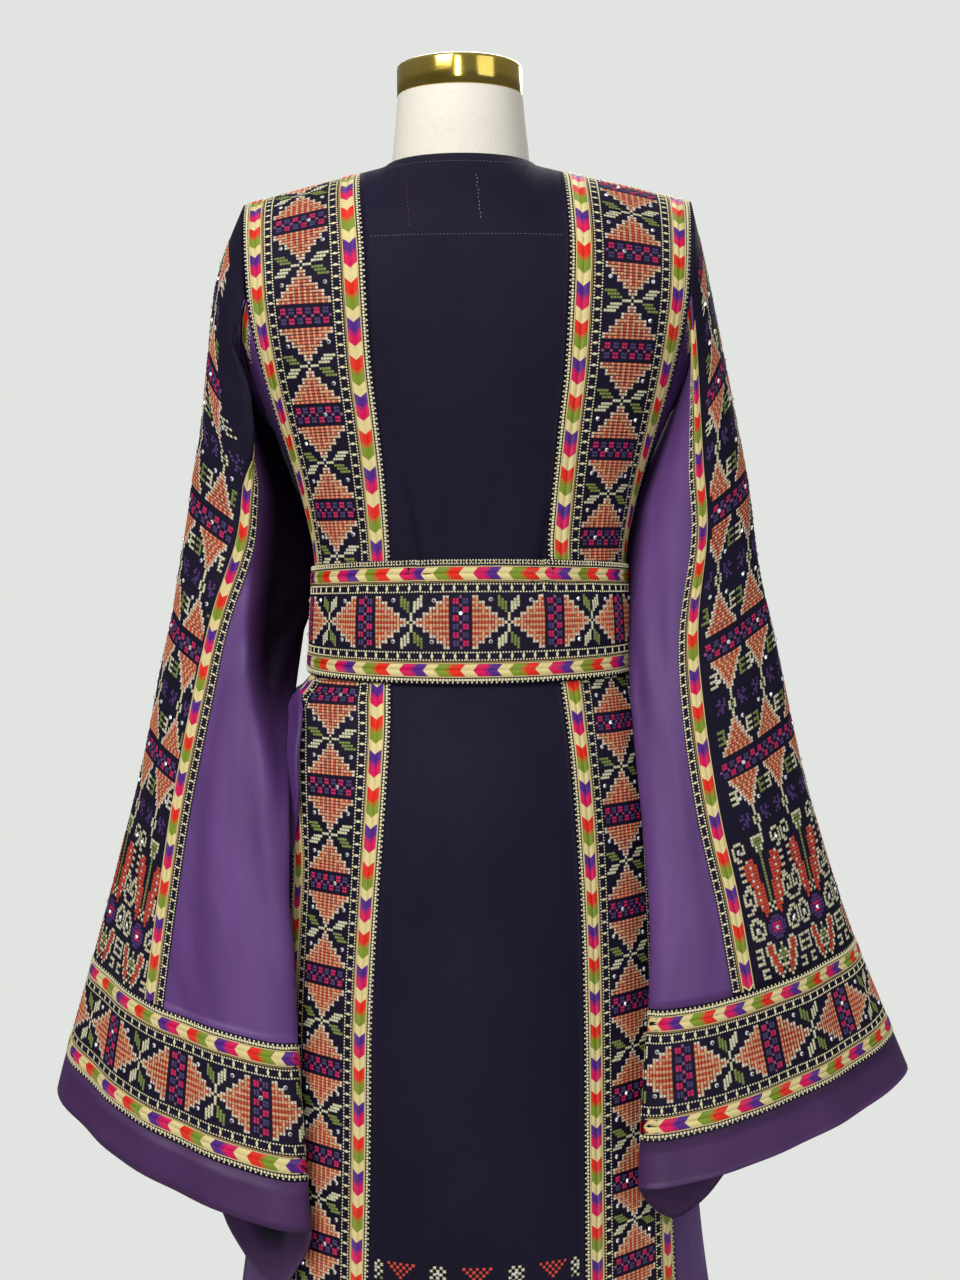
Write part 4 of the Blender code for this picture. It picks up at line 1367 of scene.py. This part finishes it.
BELT_STEPS = Track(((0, 0.289), (1, 0.350), (2, 0.414), (3, 0.477)))
BELT_STRIPS = Track(
    ((0, 0.2560), (1, 0.3275), (2, 0.4078), (3, 0.4914)), before=0.082, after=0.082,
)
belt = belt_patch()
# The lane is read from the belt's top edge down
extras = embroidered_band(
    "belt", Lane(belt, start=1.0, sign=-1, scale=BAND_WIDTH), BELT_STEPS, BELT_STRIPS,
    cell=0.00252, turned=True, belt=True, rung=0.0097,
)
finish_cloth(
    "belt", belt, NAVY, extras, thickness=BELT_CLOTH,
)


# The sleeves

OVERARM_COUNT, GORE_COUNT = 33, 45
# A sleeve's rows of points: its head, the part down to the cuff, the cuff band and the cuff's hem
HEAD_ROWS, MAIN_ROWS, CUFF_ROWS, HEM_ROWS = 16, 66, 14, 6
CUFF_ROW = HEAD_ROWS + MAIN_ROWS - 1
# The column of the back seam, of those that start at the front seam and run over the arm
SEAM = OVERARM_COUNT - 1
# How much of the head's bulge each sleeve has
HEAD_FULLNESS = {"left": 1, "right": 0.1}
# Where the inner fold of each sleeve hangs, by row
INNER_FOLD = Table(
    "row left right",
    (
        (3, 0.1440, 0.1440), (4, 0.1340, 0.1340), (5, 0.1480, 0.1350), (6, 0.1530, 0.1370),
        (7, 0.1505, 0.1420), (8, 0.1480, 0.1450), (9, 0.1430, 0.1420), (10, 0.1345, 0.1330),
        (11, 0.1310, 0.1310),
    ),
)


def armhole(side):
    """The edge that the sleeve is sewn to: over the shoulder to the back, and on under the arm."""
    over, under = {}, {}
    for facing in (BACK, FRONT):
        band = worn(band_points(facing, side, np.array([1.0])), facing)[:, 0]
        over[facing] = band[::-1][:len(TURNS) + 1]
        under[facing] = worn(side_points(facing, side, np.linspace(0, 1, 40)), facing)[-1]
    over = np.vstack([over[FRONT][::-1], over[BACK][1:]])
    under = np.vstack([under[BACK], under[FRONT][-2::-1]])
    parts = evenly(over[None], OVERARM_COUNT)[0], evenly(under[None], GORE_COUNT)[0][1:]
    return np.vstack(parts) + (side * ARMHOLE_GAP, 0, 0)


def sleeve_rings(name, side, rows):
    """A closed ring of points for each row, from its outer fold by the back."""
    angles = np.linspace(0, 2 * pi, 193)
    r = rows[:, None]
    value = {key: SLEEVE.read(key, r) for key in SLEEVE.columns}
    outer = np.stack([value["outer_x"], 0 * r, value["outer_z"]], -1)
    inner = np.stack([INNER_FOLD.read(name, r), value["inner_y"], value["inner_z"]], -1)
    centre, reach = (outer + inner) / 2, (outer - inner) / 2
    turn = np.radians(value["turn"])
    behind = np.stack([np.sin(turn), -np.cos(turn), 0 * r], -1)
    lift, flare = (value[key] if name == "right" else 0 * r for key in ("lift", "flare"))
    swell = value["swell"] * np.sin(angles)
    front = value["front"] + (1 - value["front"]) * (1 + np.cos(angles)) / 2
    swell = np.where(angles > pi, swell * front, swell)
    off = np.abs(angles - DROOP_ANGLE) / DROOP_SPREAD
    droop = DROOP_GROWTH[name] * value["droop"] * np.where(off < 1, np.cos(off * pi / 2) ** 2, 0)
    shift = stacked(
        flare * (1 + np.cos(angles)) / 2, 0 * angles, lift * (2 - np.cos(angles)) / 3 - droop,
    )
    points = centre + reach * np.cos(angles)[None, :, None] + behind * swell[..., None] + shift
    return points * (side, 1, 1)


def ring_part(ring, start, width, count):
    """Points at equal lengths along part of a closed ring, by length back from its outer fold."""
    run = runs(ring)
    return points_at(ring, run, (start + width * np.linspace(0, 1, count)) % run[-1])


def sleeve_grid(name, side):
    """The whole sleeve from the armhole to its hem."""
    rows = np.concatenate([
        np.linspace(FIRST_SLEEVE_ROW, CUFF_TOP_ROW, MAIN_ROWS),
        np.linspace(CUFF_TOP_ROW, CUFF_HEM_ROW, CUFF_ROWS + 1)[1:],
        np.linspace(CUFF_HEM_ROW, SLEEVE_HEM_ROW, HEM_ROWS + 1)[1:],
    ])
    grid = []
    for row, ring in zip(rows, sleeve_rings(name, side, rows)):
        behind, width = SLEEVE.read("back_" + name, row), SLEEVE.read("overarm", row)
        over = ring_part(ring, behind - width, width, OVERARM_COUNT)
        gore = ring_part(ring, behind, runs(ring)[-1] - width, GORE_COUNT)
        grid.append(np.vstack([over, gore[1:]]))
    first = armhole(side)
    raised = np.clip((first[:, 2] - UNDERARM_HEIGHT) / (APEX_HEIGHT - UNDERARM_HEIGHT), 0, 1)
    head = []
    for share in np.linspace(0, 1, HEAD_ROWS + 1)[:-1]:
        points = first + (grid[0] - first) * share
        points[:, 0] += side * SLEEVE_HEAD.read("bulge", share) * raised * HEAD_FULLNESS[name]
        head.append(points)
    whole = np.array(head + grid)
    for _ in range(4):
        whole[1:-8] = whole[1:-8] / 2 + (whole[:-9] + whole[2:-7]) / 4
    return whole


SLEEVE_FOLD, ELBOW_FOLD = 0.0042, 0.0022


def sleeve_folds(side, place, columns):
    """How far the cloth of the sleeve sinks in, as folds that hang from the shoulder."""
    around = np.linspace(0, 2 * pi, len(columns))
    wave = np.sin(7 * around + 1.1 * side + 1.5 * place)
    wave = wave + 0.55 * np.sin(12 * around - 2.2 * place + side)
    sunk = SLEEVE_FOLD * smooth_step(place, 0.10, 0.75) * (0.5 + 0.32 * wave)
    elbow = bell(place, 0.38, 0.10) * (0.5 + 0.5 * np.sin(9 * around + 26 * place))
    seam_hold = 1 - 0.8 * bell(columns, SEAM, 2.5)
    edge = smooth_step(place * (len(place) - 1), 0, 4)
    return (sunk + ELBOW_FOLD * elbow) * seam_hold * edge


# Where the gore starts to fall back beside the body, in columns past the back seam by the share of
# the sleeve's length, how far it falls back, and how much painted shade darkens the fold inside
RECESS = {
    "left": Table("share column depth shade", (
        (0.00, 1.0, 0.000, 0.6), (0.06, 1.0, 0.030, 1.0), (0.16, 1.0, 0.052, 1.0),
        (0.28, 2.0, 0.052, 1.0), (0.36, 7.0, 0.046, 1.0), (0.44, 13.0, 0.036, 0.9),
        (0.50, 18.0, 0.020, 0.5), (0.58, 22.0, 0.000, 0.0), (1.00, 22.0, 0.000, 0.0),
    )),
    "right": Table("share column depth shade", (
        (0.00, 12.0, 0.000, 0.3), (0.10, 12.0, 0.012, 0.5), (0.25, 14.0, 0.022, 0.9),
        (0.38, 15.0, 0.024, 1.0), (0.50, 17.0, 0.018, 0.8), (0.62, 20.0, 0.000, 0.0),
        (1.00, 22.0, 0.000, 0.0),
    )),
}
# How far each back seam is moved across, by the share of the sleeve's length
SEAM_NUDGE = Table(
    "share left right", ((0, 0, 0), (0.5, -0.001, 0), (0.79, -0.005, -0.001), (1, -0.005, 0)),
)
# A fold of the left overarm that falls over the top of its back seam
SEAM_FOLD = (0.019, -0.012, 0.0)


def recess(name, place, columns):
    """How far the gore's back falls towards +Y, and how much painted shade darkens it."""
    table, past = RECESS[name], columns - SEAM
    start = table.read("column", place)
    inside = smooth_step(past, start, start + 4.5)
    fallen = table.read("depth", place) * inside * smooth_step(past, 44, 36)
    return fallen, table.read("shade", place) * inside * smooth_step(past, 42, 32)


def sleeve_surface(name, side):
    """The sleeve as it is worn, and the painted shade of the gore's folds."""
    whole = sleeve_grid(name, side)
    outward = whole - whole.mean(axis=1, keepdims=True)
    along = np.gradient(whole, axis=0)
    around = np.roll(whole, -1, axis=1) - np.roll(whole, 1, axis=1)
    normals = unit(np.cross(along, around))
    if np.sum(normals * outward) < 0:
        normals = -normals
    for _ in range(2):
        normals = unit(normals + np.roll(normals, 1, axis=1) + np.roll(normals, -1, axis=1))
    place = np.linspace(0, 1, len(whole))[:, None]
    columns = np.arange(whole.shape[1])
    whole = whole - normals * sleeve_folds(side, place, columns)[..., None]
    if name == "left":
        fold = bell(columns, 29.3, 1.9) * window(place, 0.035, 0.10, 0.12, 0.19)
        whole = whole + fold[..., None] * SEAM_FOLD
    depth, shade = recess(name, place, columns)
    whole[..., 1] += depth
    whole[..., 0] += SEAM_NUDGE.read(name, place) * bell(columns, SEAM, 7.0)
    return whole, shade


# Where the strips of small squares fall down each overarm, how far across its column next to the
# back seam is there, the middle of the compositions that follow, and the strips round each cuff
OVERARM_STRIPS = {
    "left": Track((
        (0, 0.1403, 0.0420), (0.5, 0.2000, 0.0600), (1, 0.2600, 0.0570), (2, 0.3700, 0.0800),
        (3, 0.4760, 0.0910),
    )),
    "right": Track((
        (0, 0.1394, 0.0536), (1, 0.2456, 0.0713), (2, 0.3628, 0.0653), (3, 0.4668, 0.0783),
    )),
}
COMPOSITION_MIDDLES = {
    "left": Track(((0, 0.5388, 0.0988), (1, 0.6062, 0.1034))),
    "right": Track(((0, 0.5343, 0.0844), (1, 0.6117, 0.0955))),
}
CUFF_STRIPS = {
    "left": Track(((0, 0.2450), (1, 0.3271), (2, 0.4065))),
    "right": Track(((0, 0.1886), (1, 0.2816), (2, 0.3636)), before=0.082),
}
# How far apart the columns and the compositions are, and the height of a composition's row
COLUMN_PITCH, COMPOSITION_PITCH, COMPOSITION_ROW = 0.0415, 0.0570, 0.0031
# The columns' top, and how much of the overarm's edges its braids cover
COLUMN_TOP, BRAID_COVER = 0.030, 0.0145
# Stones of a composition: how far beside its middle, and the row
COMPOSITION_STONES = (
    (0.0, 27.8), (0.0215, 3.0), (-0.0215, 3.2), (0.0198, 26.8), (-0.0198, 27.0),
)


def embroidered_overarm(name, patch):
    """The overarm's columns of motifs, and the compositions above the cuff; returns the pieces."""
    lane = Lane(patch, start=0.5)
    threads, gems = Work(), Work()
    pattern, composition = chart(SPRIGS), chart(FEATHERS, True)
    height = len(composition) * COMPOSITION_ROW
    field_end = patch.length - 0.002 - height

    def clear_of_trims(across, along):
        return np.abs(across) < patch.width(along) / 2 - BRAID_COVER

    strips = OVERARM_STRIPS[name]
    for copy in range(-5, 1):
        offset = copy * COLUMN_PITCH
        stitches(
            threads, lane, pattern, strips, COLUMN_TOP, field_end, offset=offset,
            keep=clear_of_trims,
        )
        spots = stone_spots(
            strips, COLUMN_TOP, field_end, len(pattern), CELL, SPRIG_STONES, offset,
        )
        stones(gems, lane, kept_spots(spots, clear_of_trims))
    middles = COMPOSITION_MIDDLES[name]
    start = field_end + 0.001
    pace = Track((
        (0, start, middles.middle(middles.repeat(start))), (1, start + height, middles.middles[2]),
    ))
    for copy in range(-4, 1):
        offset = copy * COMPOSITION_PITCH
        stitches(
            threads, lane, composition, pace, start, patch.length - END_GAP, anchor=0,
            offset=offset, keep=clear_of_trims,
        )
        spots = [
            (pace.middle(row / len(composition)) + offset + beside, start + row * COMPOSITION_ROW)
            for beside, row in COMPOSITION_STONES
        ]
        stones(gems, lane, kept_spots(spots, clear_of_trims))
    return [
        threads.finish("stitches_sleeve_overarm_" + name, STITCH_MATERIALS),
        gems.finish("stones_sleeve_overarm_" + name, STONE),
    ]


# A braid's full width, where its edges lie from the seam, and how far it lies off the sleeve
BRAID_WIDTH, BRAID_EDGES, BRAID_OFF = 0.0235, (-0.0135, 0.0100), 0.0012
# The sleeve's row at which it starts, and the columns that it is read from to each side of the seam
BRAID_FIRST_ROW, BRAID_REACH = 3, 4
# Its trims, in metres across the full width, and the place of the first red step on each sleeve
BRAID_CHEVRONS, BRAID_LINE, BRAID_LADDER = (0.0002, 0.0136), (0.0144, 0.0150), (0.0160, 0.0232)
BRAID_STEPS = {"left": 0.0487, "right": 0.0212}


def finish_braid(name, braid, whole, outward):
    """The braid over the overarm's back or front seam, with its trims."""
    seam = SEAM if braid == "back" else 0
    columns = [
        (seam + offset) % whole.shape[1] for offset in range(-BRAID_REACH, BRAID_REACH + 1)
    ]
    columns = columns if braid == "back" else columns[::-1]
    near = whole[BRAID_FIRST_ROW:CUFF_ROW + 1][:, columns]
    out = outward[BRAID_FIRST_ROW:CUFF_ROW + 1][:, columns]
    run = runs(near)
    run -= run[:, BRAID_REACH:BRAID_REACH + 1]
    offsets = np.linspace(*BRAID_EDGES, len(columns))
    # It is narrower near the shoulder
    shares = 0.68 + 0.22 * smooth_step(np.linspace(0, 1, len(near)), 0.2, 0.7)
    grid = np.array([
        points_at(line_points, line_run, offsets * share)
        for line_points, line_run, share in zip(near, run, shares)
    ])
    patch = Patch(grid + Patch(grid, out).normals * BRAID_OFF, out)
    lane = Lane(patch, scale=BRAID_WIDTH)
    # The left back braid's top lies under a fold
    start = 0.075 if (name, braid) == ("left", "back") else END_GAP
    end = patch.length - END_GAP
    work = Work()
    chevrons(work, lane, even(BRAID_STEPS[name], STEP_PITCH), start, end, *BRAID_CHEVRONS)
    line(work, lane, *BRAID_LINE, start, end, "gilt", 0.0005)
    ladder(work, lane, *BRAID_LADDER, start, end)
    extra = work.finish(f"trims_sleeve_{braid}_{name}", SATIN_MATERIALS)
    finish_cloth(
        f"sleeve_trim_{braid}_{name}", patch, NAVY, [extra],
        thickness=BRAID_CLOTH,
    )


for name, side in SIDES.items():
    whole, shade = sleeve_surface(name, side)
    outward = whole - whole.mean(axis=1, keepdims=True)
    upper = slice(0, CUFF_ROW + 1)

    patch = Patch(whole[upper, :OVERARM_COUNT], outward[upper, :OVERARM_COUNT])
    finish_cloth(
        "sleeve_overarm_" + name, patch, NAVY,
        embroidered_overarm(name, patch),
    )
    columns = [*range(SEAM, whole.shape[1]), 0]
    finish_cloth(
        "sleeve_gore_" + name, Patch(whole[upper, columns], outward[upper, columns]),
        SATIN_WITH_PAINTED_SHADE,
        # Painted shade: the gore is drawn nearly black where it falls back beside the body.
        shade=shade[upper, columns],
    )
    for braid in ("back", "front"):
        finish_braid(name, braid, whole, outward)

    # The cuff's band runs round the sleeve, and the hem below it runs down
    columns = [*range(whole.shape[1]), 0]
    around, out = (
        np.transpose(grid[CUFF_ROW:, columns], (1, 0, 2)) for grid in (whole, outward)
    )
    patch = Patch(evenly(around[:, :CUFF_ROWS + 1], 15), out[:, :CUFF_ROWS + 1], ring=True)
    extras = embroidered_band(
        "sleeve_cuff_" + name, Lane(patch, scale=BAND_WIDTH), even(0.032, STEP_PITCH),
        CUFF_STRIPS[name], gap=0.0, backward=side < 0, cell=CELL * 0.97, turned=side > 0,
        rung=0.0102,
    )
    finish_cloth(
        "sleeve_cuff_band_" + name, patch, NAVY, extras,
    )
    patch = Patch(around[:, CUFF_ROWS:], out[:, CUFF_ROWS:], ring=True)
    finish_cloth(
        "sleeve_cuff_hem_" + name, patch, HEM_SATIN,
    )


# The dress form

def linen():
    nodes = Nodes(
        "form_linen", srgb(238, 232, 222), 0.85, Sheen_Weight=0.25, Sheen_Roughness=0.5,
        Specular_IOR_Level=0.25,
    )
    where = nodes.metres()
    threads = nodes.noise(nodes.scaled(where, 1.0, 0.25, 1.0), 900, 3)
    colour = nodes.ramp(threads, (0.25, srgb(231, 225, 210)), (0.75, srgb(244, 240, 228)))
    nodes.link(colour, "Base Color")
    weft = nodes.bump(nodes.stripes(where, 300, "Y", 0.8), 0.00006, 0.5)
    warp = nodes.bump(nodes.stripes(where, 300, "X", 0.8), 0.00006, 0.5, weft)
    nodes.link(nodes.bump(threads, 0.00005, 0.4, warp), "Normal")
    return nodes.material


FORM_COLUMNS = 72
FORM_BOTTOM, FORM_TOP = 0.820, 1.5174


def form_ring(height):
    """A section of the torso, which narrows until it is under the shoulders."""
    half = FORM.read("half_width", height)
    reach = float(half)
    while shoulder_height(reach) - FORM_DROP < height:
        reach -= 0.0002
    power = FORM.read("squareness", height)
    angles = 2 * pi * np.arange(FORM_COLUMNS) / FORM_COLUMNS
    x = np.where(np.sin(angles) >= 0, 1, -1) * reach * np.abs(np.sin(angles)) ** (2 / power)
    facing = np.where(np.cos(angles) >= 0, BACK, FRONT)
    depth = np.where(facing == BACK, FORM.read("back", height), FORM.read("front", height))
    lateral = np.maximum(1 - (np.abs(x) / half) ** power, 0) ** (1 / power)
    turned = rounding(shoulder_height(x) - FORM_DROP - height)
    return stacked(x + lean(x, height), facing * depth * lateral * turned, height)


def neck_ring(height):
    angles = 2 * pi * np.arange(FORM_COLUMNS) / FORM_COLUMNS
    x = NECK.read("half_width", height) * np.sin(angles)
    y = -NECK.read("depth", height) * np.cos(angles)
    return stacked(x + lean(x, height), y, height)


levels = np.concatenate([np.linspace(FORM_BOTTOM, 1.39, 44), np.linspace(1.39, 1.446, 15)[1:]])
rings = [form_ring(level) for level in levels]
rings += [neck_ring(level) for level in np.linspace(1.4505, FORM_TOP, 16)]
rings = np.array(rings)
closed = np.concatenate([rings, rings[:, :1]], axis=1)
uvs = np.stack([runs(closed), closed[..., 2]], axis=-1)
work = Work()
work.add(closed, grid_faces(len(rings), FORM_COLUMNS + 1), 0, uvs)
faces = np.array([(k, (k + 1) % FORM_COLUMNS, FORM_COLUMNS) for k in range(FORM_COLUMNS)])
for ring, fan in ((rings[0], faces[:, ::-1]), (rings[-1], faces)):
    points = np.vstack([ring, ring.mean(axis=0)])
    work.add(points, fan, 0, points[:, :2], smooth=False)
torso = work.finish("padded_torso", [linen()])
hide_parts("form_torso")


def gold():
    nodes = Nodes(
        "polished_gold", srgb(226, 200, 104), 0.10, Metallic=1.0, Coat_Weight=0.2,
        Coat_Roughness=0.05,
    )
    where = nodes.metres()
    brushed = nodes.noise(nodes.scaled(where, 0.05, 1.0, 1.0), 1200, 2)
    shade = nodes.noise(where, 40, 3)
    colour = nodes.ramp(shade, (0.3, srgb(214, 186, 84)), (0.7, srgb(232, 206, 112)))
    nodes.link(colour, "Base Color")
    nodes.link(nodes.level(brushed, 0.08, 0.20), "Roughness")
    nodes.link(nodes.bump(brushed, 0.00004, 0.25), "Normal")
    return nodes.material


def steel():
    nodes = Nodes("dark_painted_steel", srgb(52, 52, 56), 0.45, Metallic=0.6, Coat_Weight=0.3)
    where = nodes.add("TexCoord").outputs["Object"]
    shade = nodes.noise(where, 30, 4)
    colour = nodes.ramp(shade, (0.3, srgb(42, 42, 46)), (0.7, srgb(62, 62, 67)))
    nodes.link(colour, "Base Color")
    nodes.link(nodes.level(nodes.noise(where, 200, 3), 0.38, 0.58), "Roughness")
    nodes.link(nodes.bump(nodes.noise(where, 1400, 2), 0.00010, 0.5), "Normal")
    return nodes.material


# The neck cap's profile, from the middle of its top: radii, and heights over its underside
CAP_BOTTOM, CAP_RADIUS, CAP_SIDES = 1.5177, 0.0545, 96
CAP_PROFILE = np.array([
    (0.0, 0.030), (0.020, 0.0298), (0.040, 0.0288), (0.0500, 0.0268),
    *(
        (0.0515 + 0.003 * sin(radians(turn)), 0.0230 + 0.003 * cos(radians(turn)))
        for turn in range(0, 91, 15)
    ),
    (CAP_RADIUS, 0.012), (CAP_RADIUS, 0.0006), (0.0538, 0.0), (0.0, 0.0),
])
turns = np.linspace(0, 2 * pi, CAP_SIDES + 1)
radii, heights = CAP_PROFILE[:, :1], CAP_PROFILE[:, 1:]
points = stacked(radii * np.cos(turns), radii * np.sin(turns), heights)
uvs = np.stack(np.broadcast_arrays(turns * radii.max(), runs(CAP_PROFILE)[:, None]), axis=-1)
work = Work()
faces = grid_faces(len(CAP_PROFILE), CAP_SIDES + 1)[:, ::-1]
work.add(points + (NECK_LEAN, 0, CAP_BOTTOM), faces, 0, uvs)
cap = work.finish("gold_neck_cap", [gold()])
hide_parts("form_neck_cap")

dark_steel = steel()
for node in ("form_pole", "form_base"):
    for material_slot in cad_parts[node].material_slots:
        material_slot.material = dark_steel


# The studio

def plain(name, colour, roughness):
    nodes = Nodes(name, colour, roughness)
    where = nodes.add("TexCoord").outputs["Object"]
    nodes.link(nodes.bump(nodes.noise(where, 60, 3), 0.0004, 0.2), "Normal")
    return nodes.material


FLOOR_RADIUS, FLOOR_SIDES = 1.15, 96
floor_mesh = bpy.data.meshes.new("floor")
rim = circle(FLOOR_SIDES, FLOOR_RADIUS, 0.0)
floor_mesh.from_pydata(rim.tolist(), [], [tuple(range(FLOOR_SIDES))])
floor_mesh.materials.append(plain("pale_floor", srgb(222, 221, 217), 0.7))
placed("floor", floor_mesh)

# The camera sees a plain backdrop, and everything else is lit by a room that is dim below
world = bpy.data.worlds.new("studio")
bpy.context.scene.world = world
world.use_nodes = True
tree = world.node_tree


def world_node(kind, *inputs):
    node = tree.nodes.new("ShaderNode" + kind)
    for place, source in enumerate(inputs):
        tree.links.new(source.outputs[0], node.inputs[place])
    return node


backdrop = tree.nodes["Background"]
backdrop.inputs["Color"].default_value = srgb(226, 228, 225)
backdrop.inputs["Strength"].default_value = 1.0
height = world_node("SeparateXYZ", world_node("TexCoord"))
shade = world_node("ValToRGB")
tree.links.new(height.outputs["Z"], shade.inputs["Fac"])
low, high = shade.color_ramp.elements
low.position, low.color = 0.0, srgb(150, 148, 146)
high.position, high.color = 0.6, srgb(240, 243, 246)
room = world_node("Background", shade)
room.inputs["Strength"].default_value = 0.38
mix = world_node("MixShader", world_node("LightPath"), room, backdrop)
tree.links.new(mix.outputs[0], tree.nodes["World Output"].inputs["Surface"])

# Each light's place, aim, size, power in watts and colour
for name, place, aim, size, power, colour in (
    ("key", (-1.0, -1.85, 2.75), (0, 0, 1.25), (1.1, 1.1), 48, (1.0, 0.985, 0.96)),
    ("strip", (-0.12, -2.9, 1.75), (0, 0, 1.2), (0.36, 1.7), 20, (1.0, 1.0, 1.0)),
    ("fill", (2.2, -1.9, 1.9), (0, 0, 1.0), (1.6, 1.6), 11, (0.96, 0.98, 1.0)),
    ("far", (0.6, 2.4, 2.4), (0, 0, 1.0), (2.0, 2.0), 55, (1.0, 1.0, 1.0)),
):
    light = bpy.data.lights.new(name, "AREA")
    light.shape = "RECTANGLE"
    light.size, light.size_y, light.energy, light.color = *size, power, colour
    turn = (Vector(aim) - Vector(place)).to_track_quat("-Z", "Y").to_matrix().to_4x4()
    placed(name, light).matrix_world = Matrix.Translation(place) @ turn

# The photo's camera
camera_data = bpy.data.cameras.new("camera")
camera_data.sensor_fit = "VERTICAL"
camera_data.sensor_height = 36
camera_data.lens = 54.14
camera = placed("camera", camera_data)
turn = Matrix.Rotation(radians(90 - 3), 4, "X") @ Matrix.Rotation(radians(-0.45), 4, "Z")
camera.matrix_world = Matrix.Translation((0.008, -1.70, 1.133)) @ turn
bpy.context.scene.camera = camera
bpy.context.scene.view_settings.view_transform = "Standard"
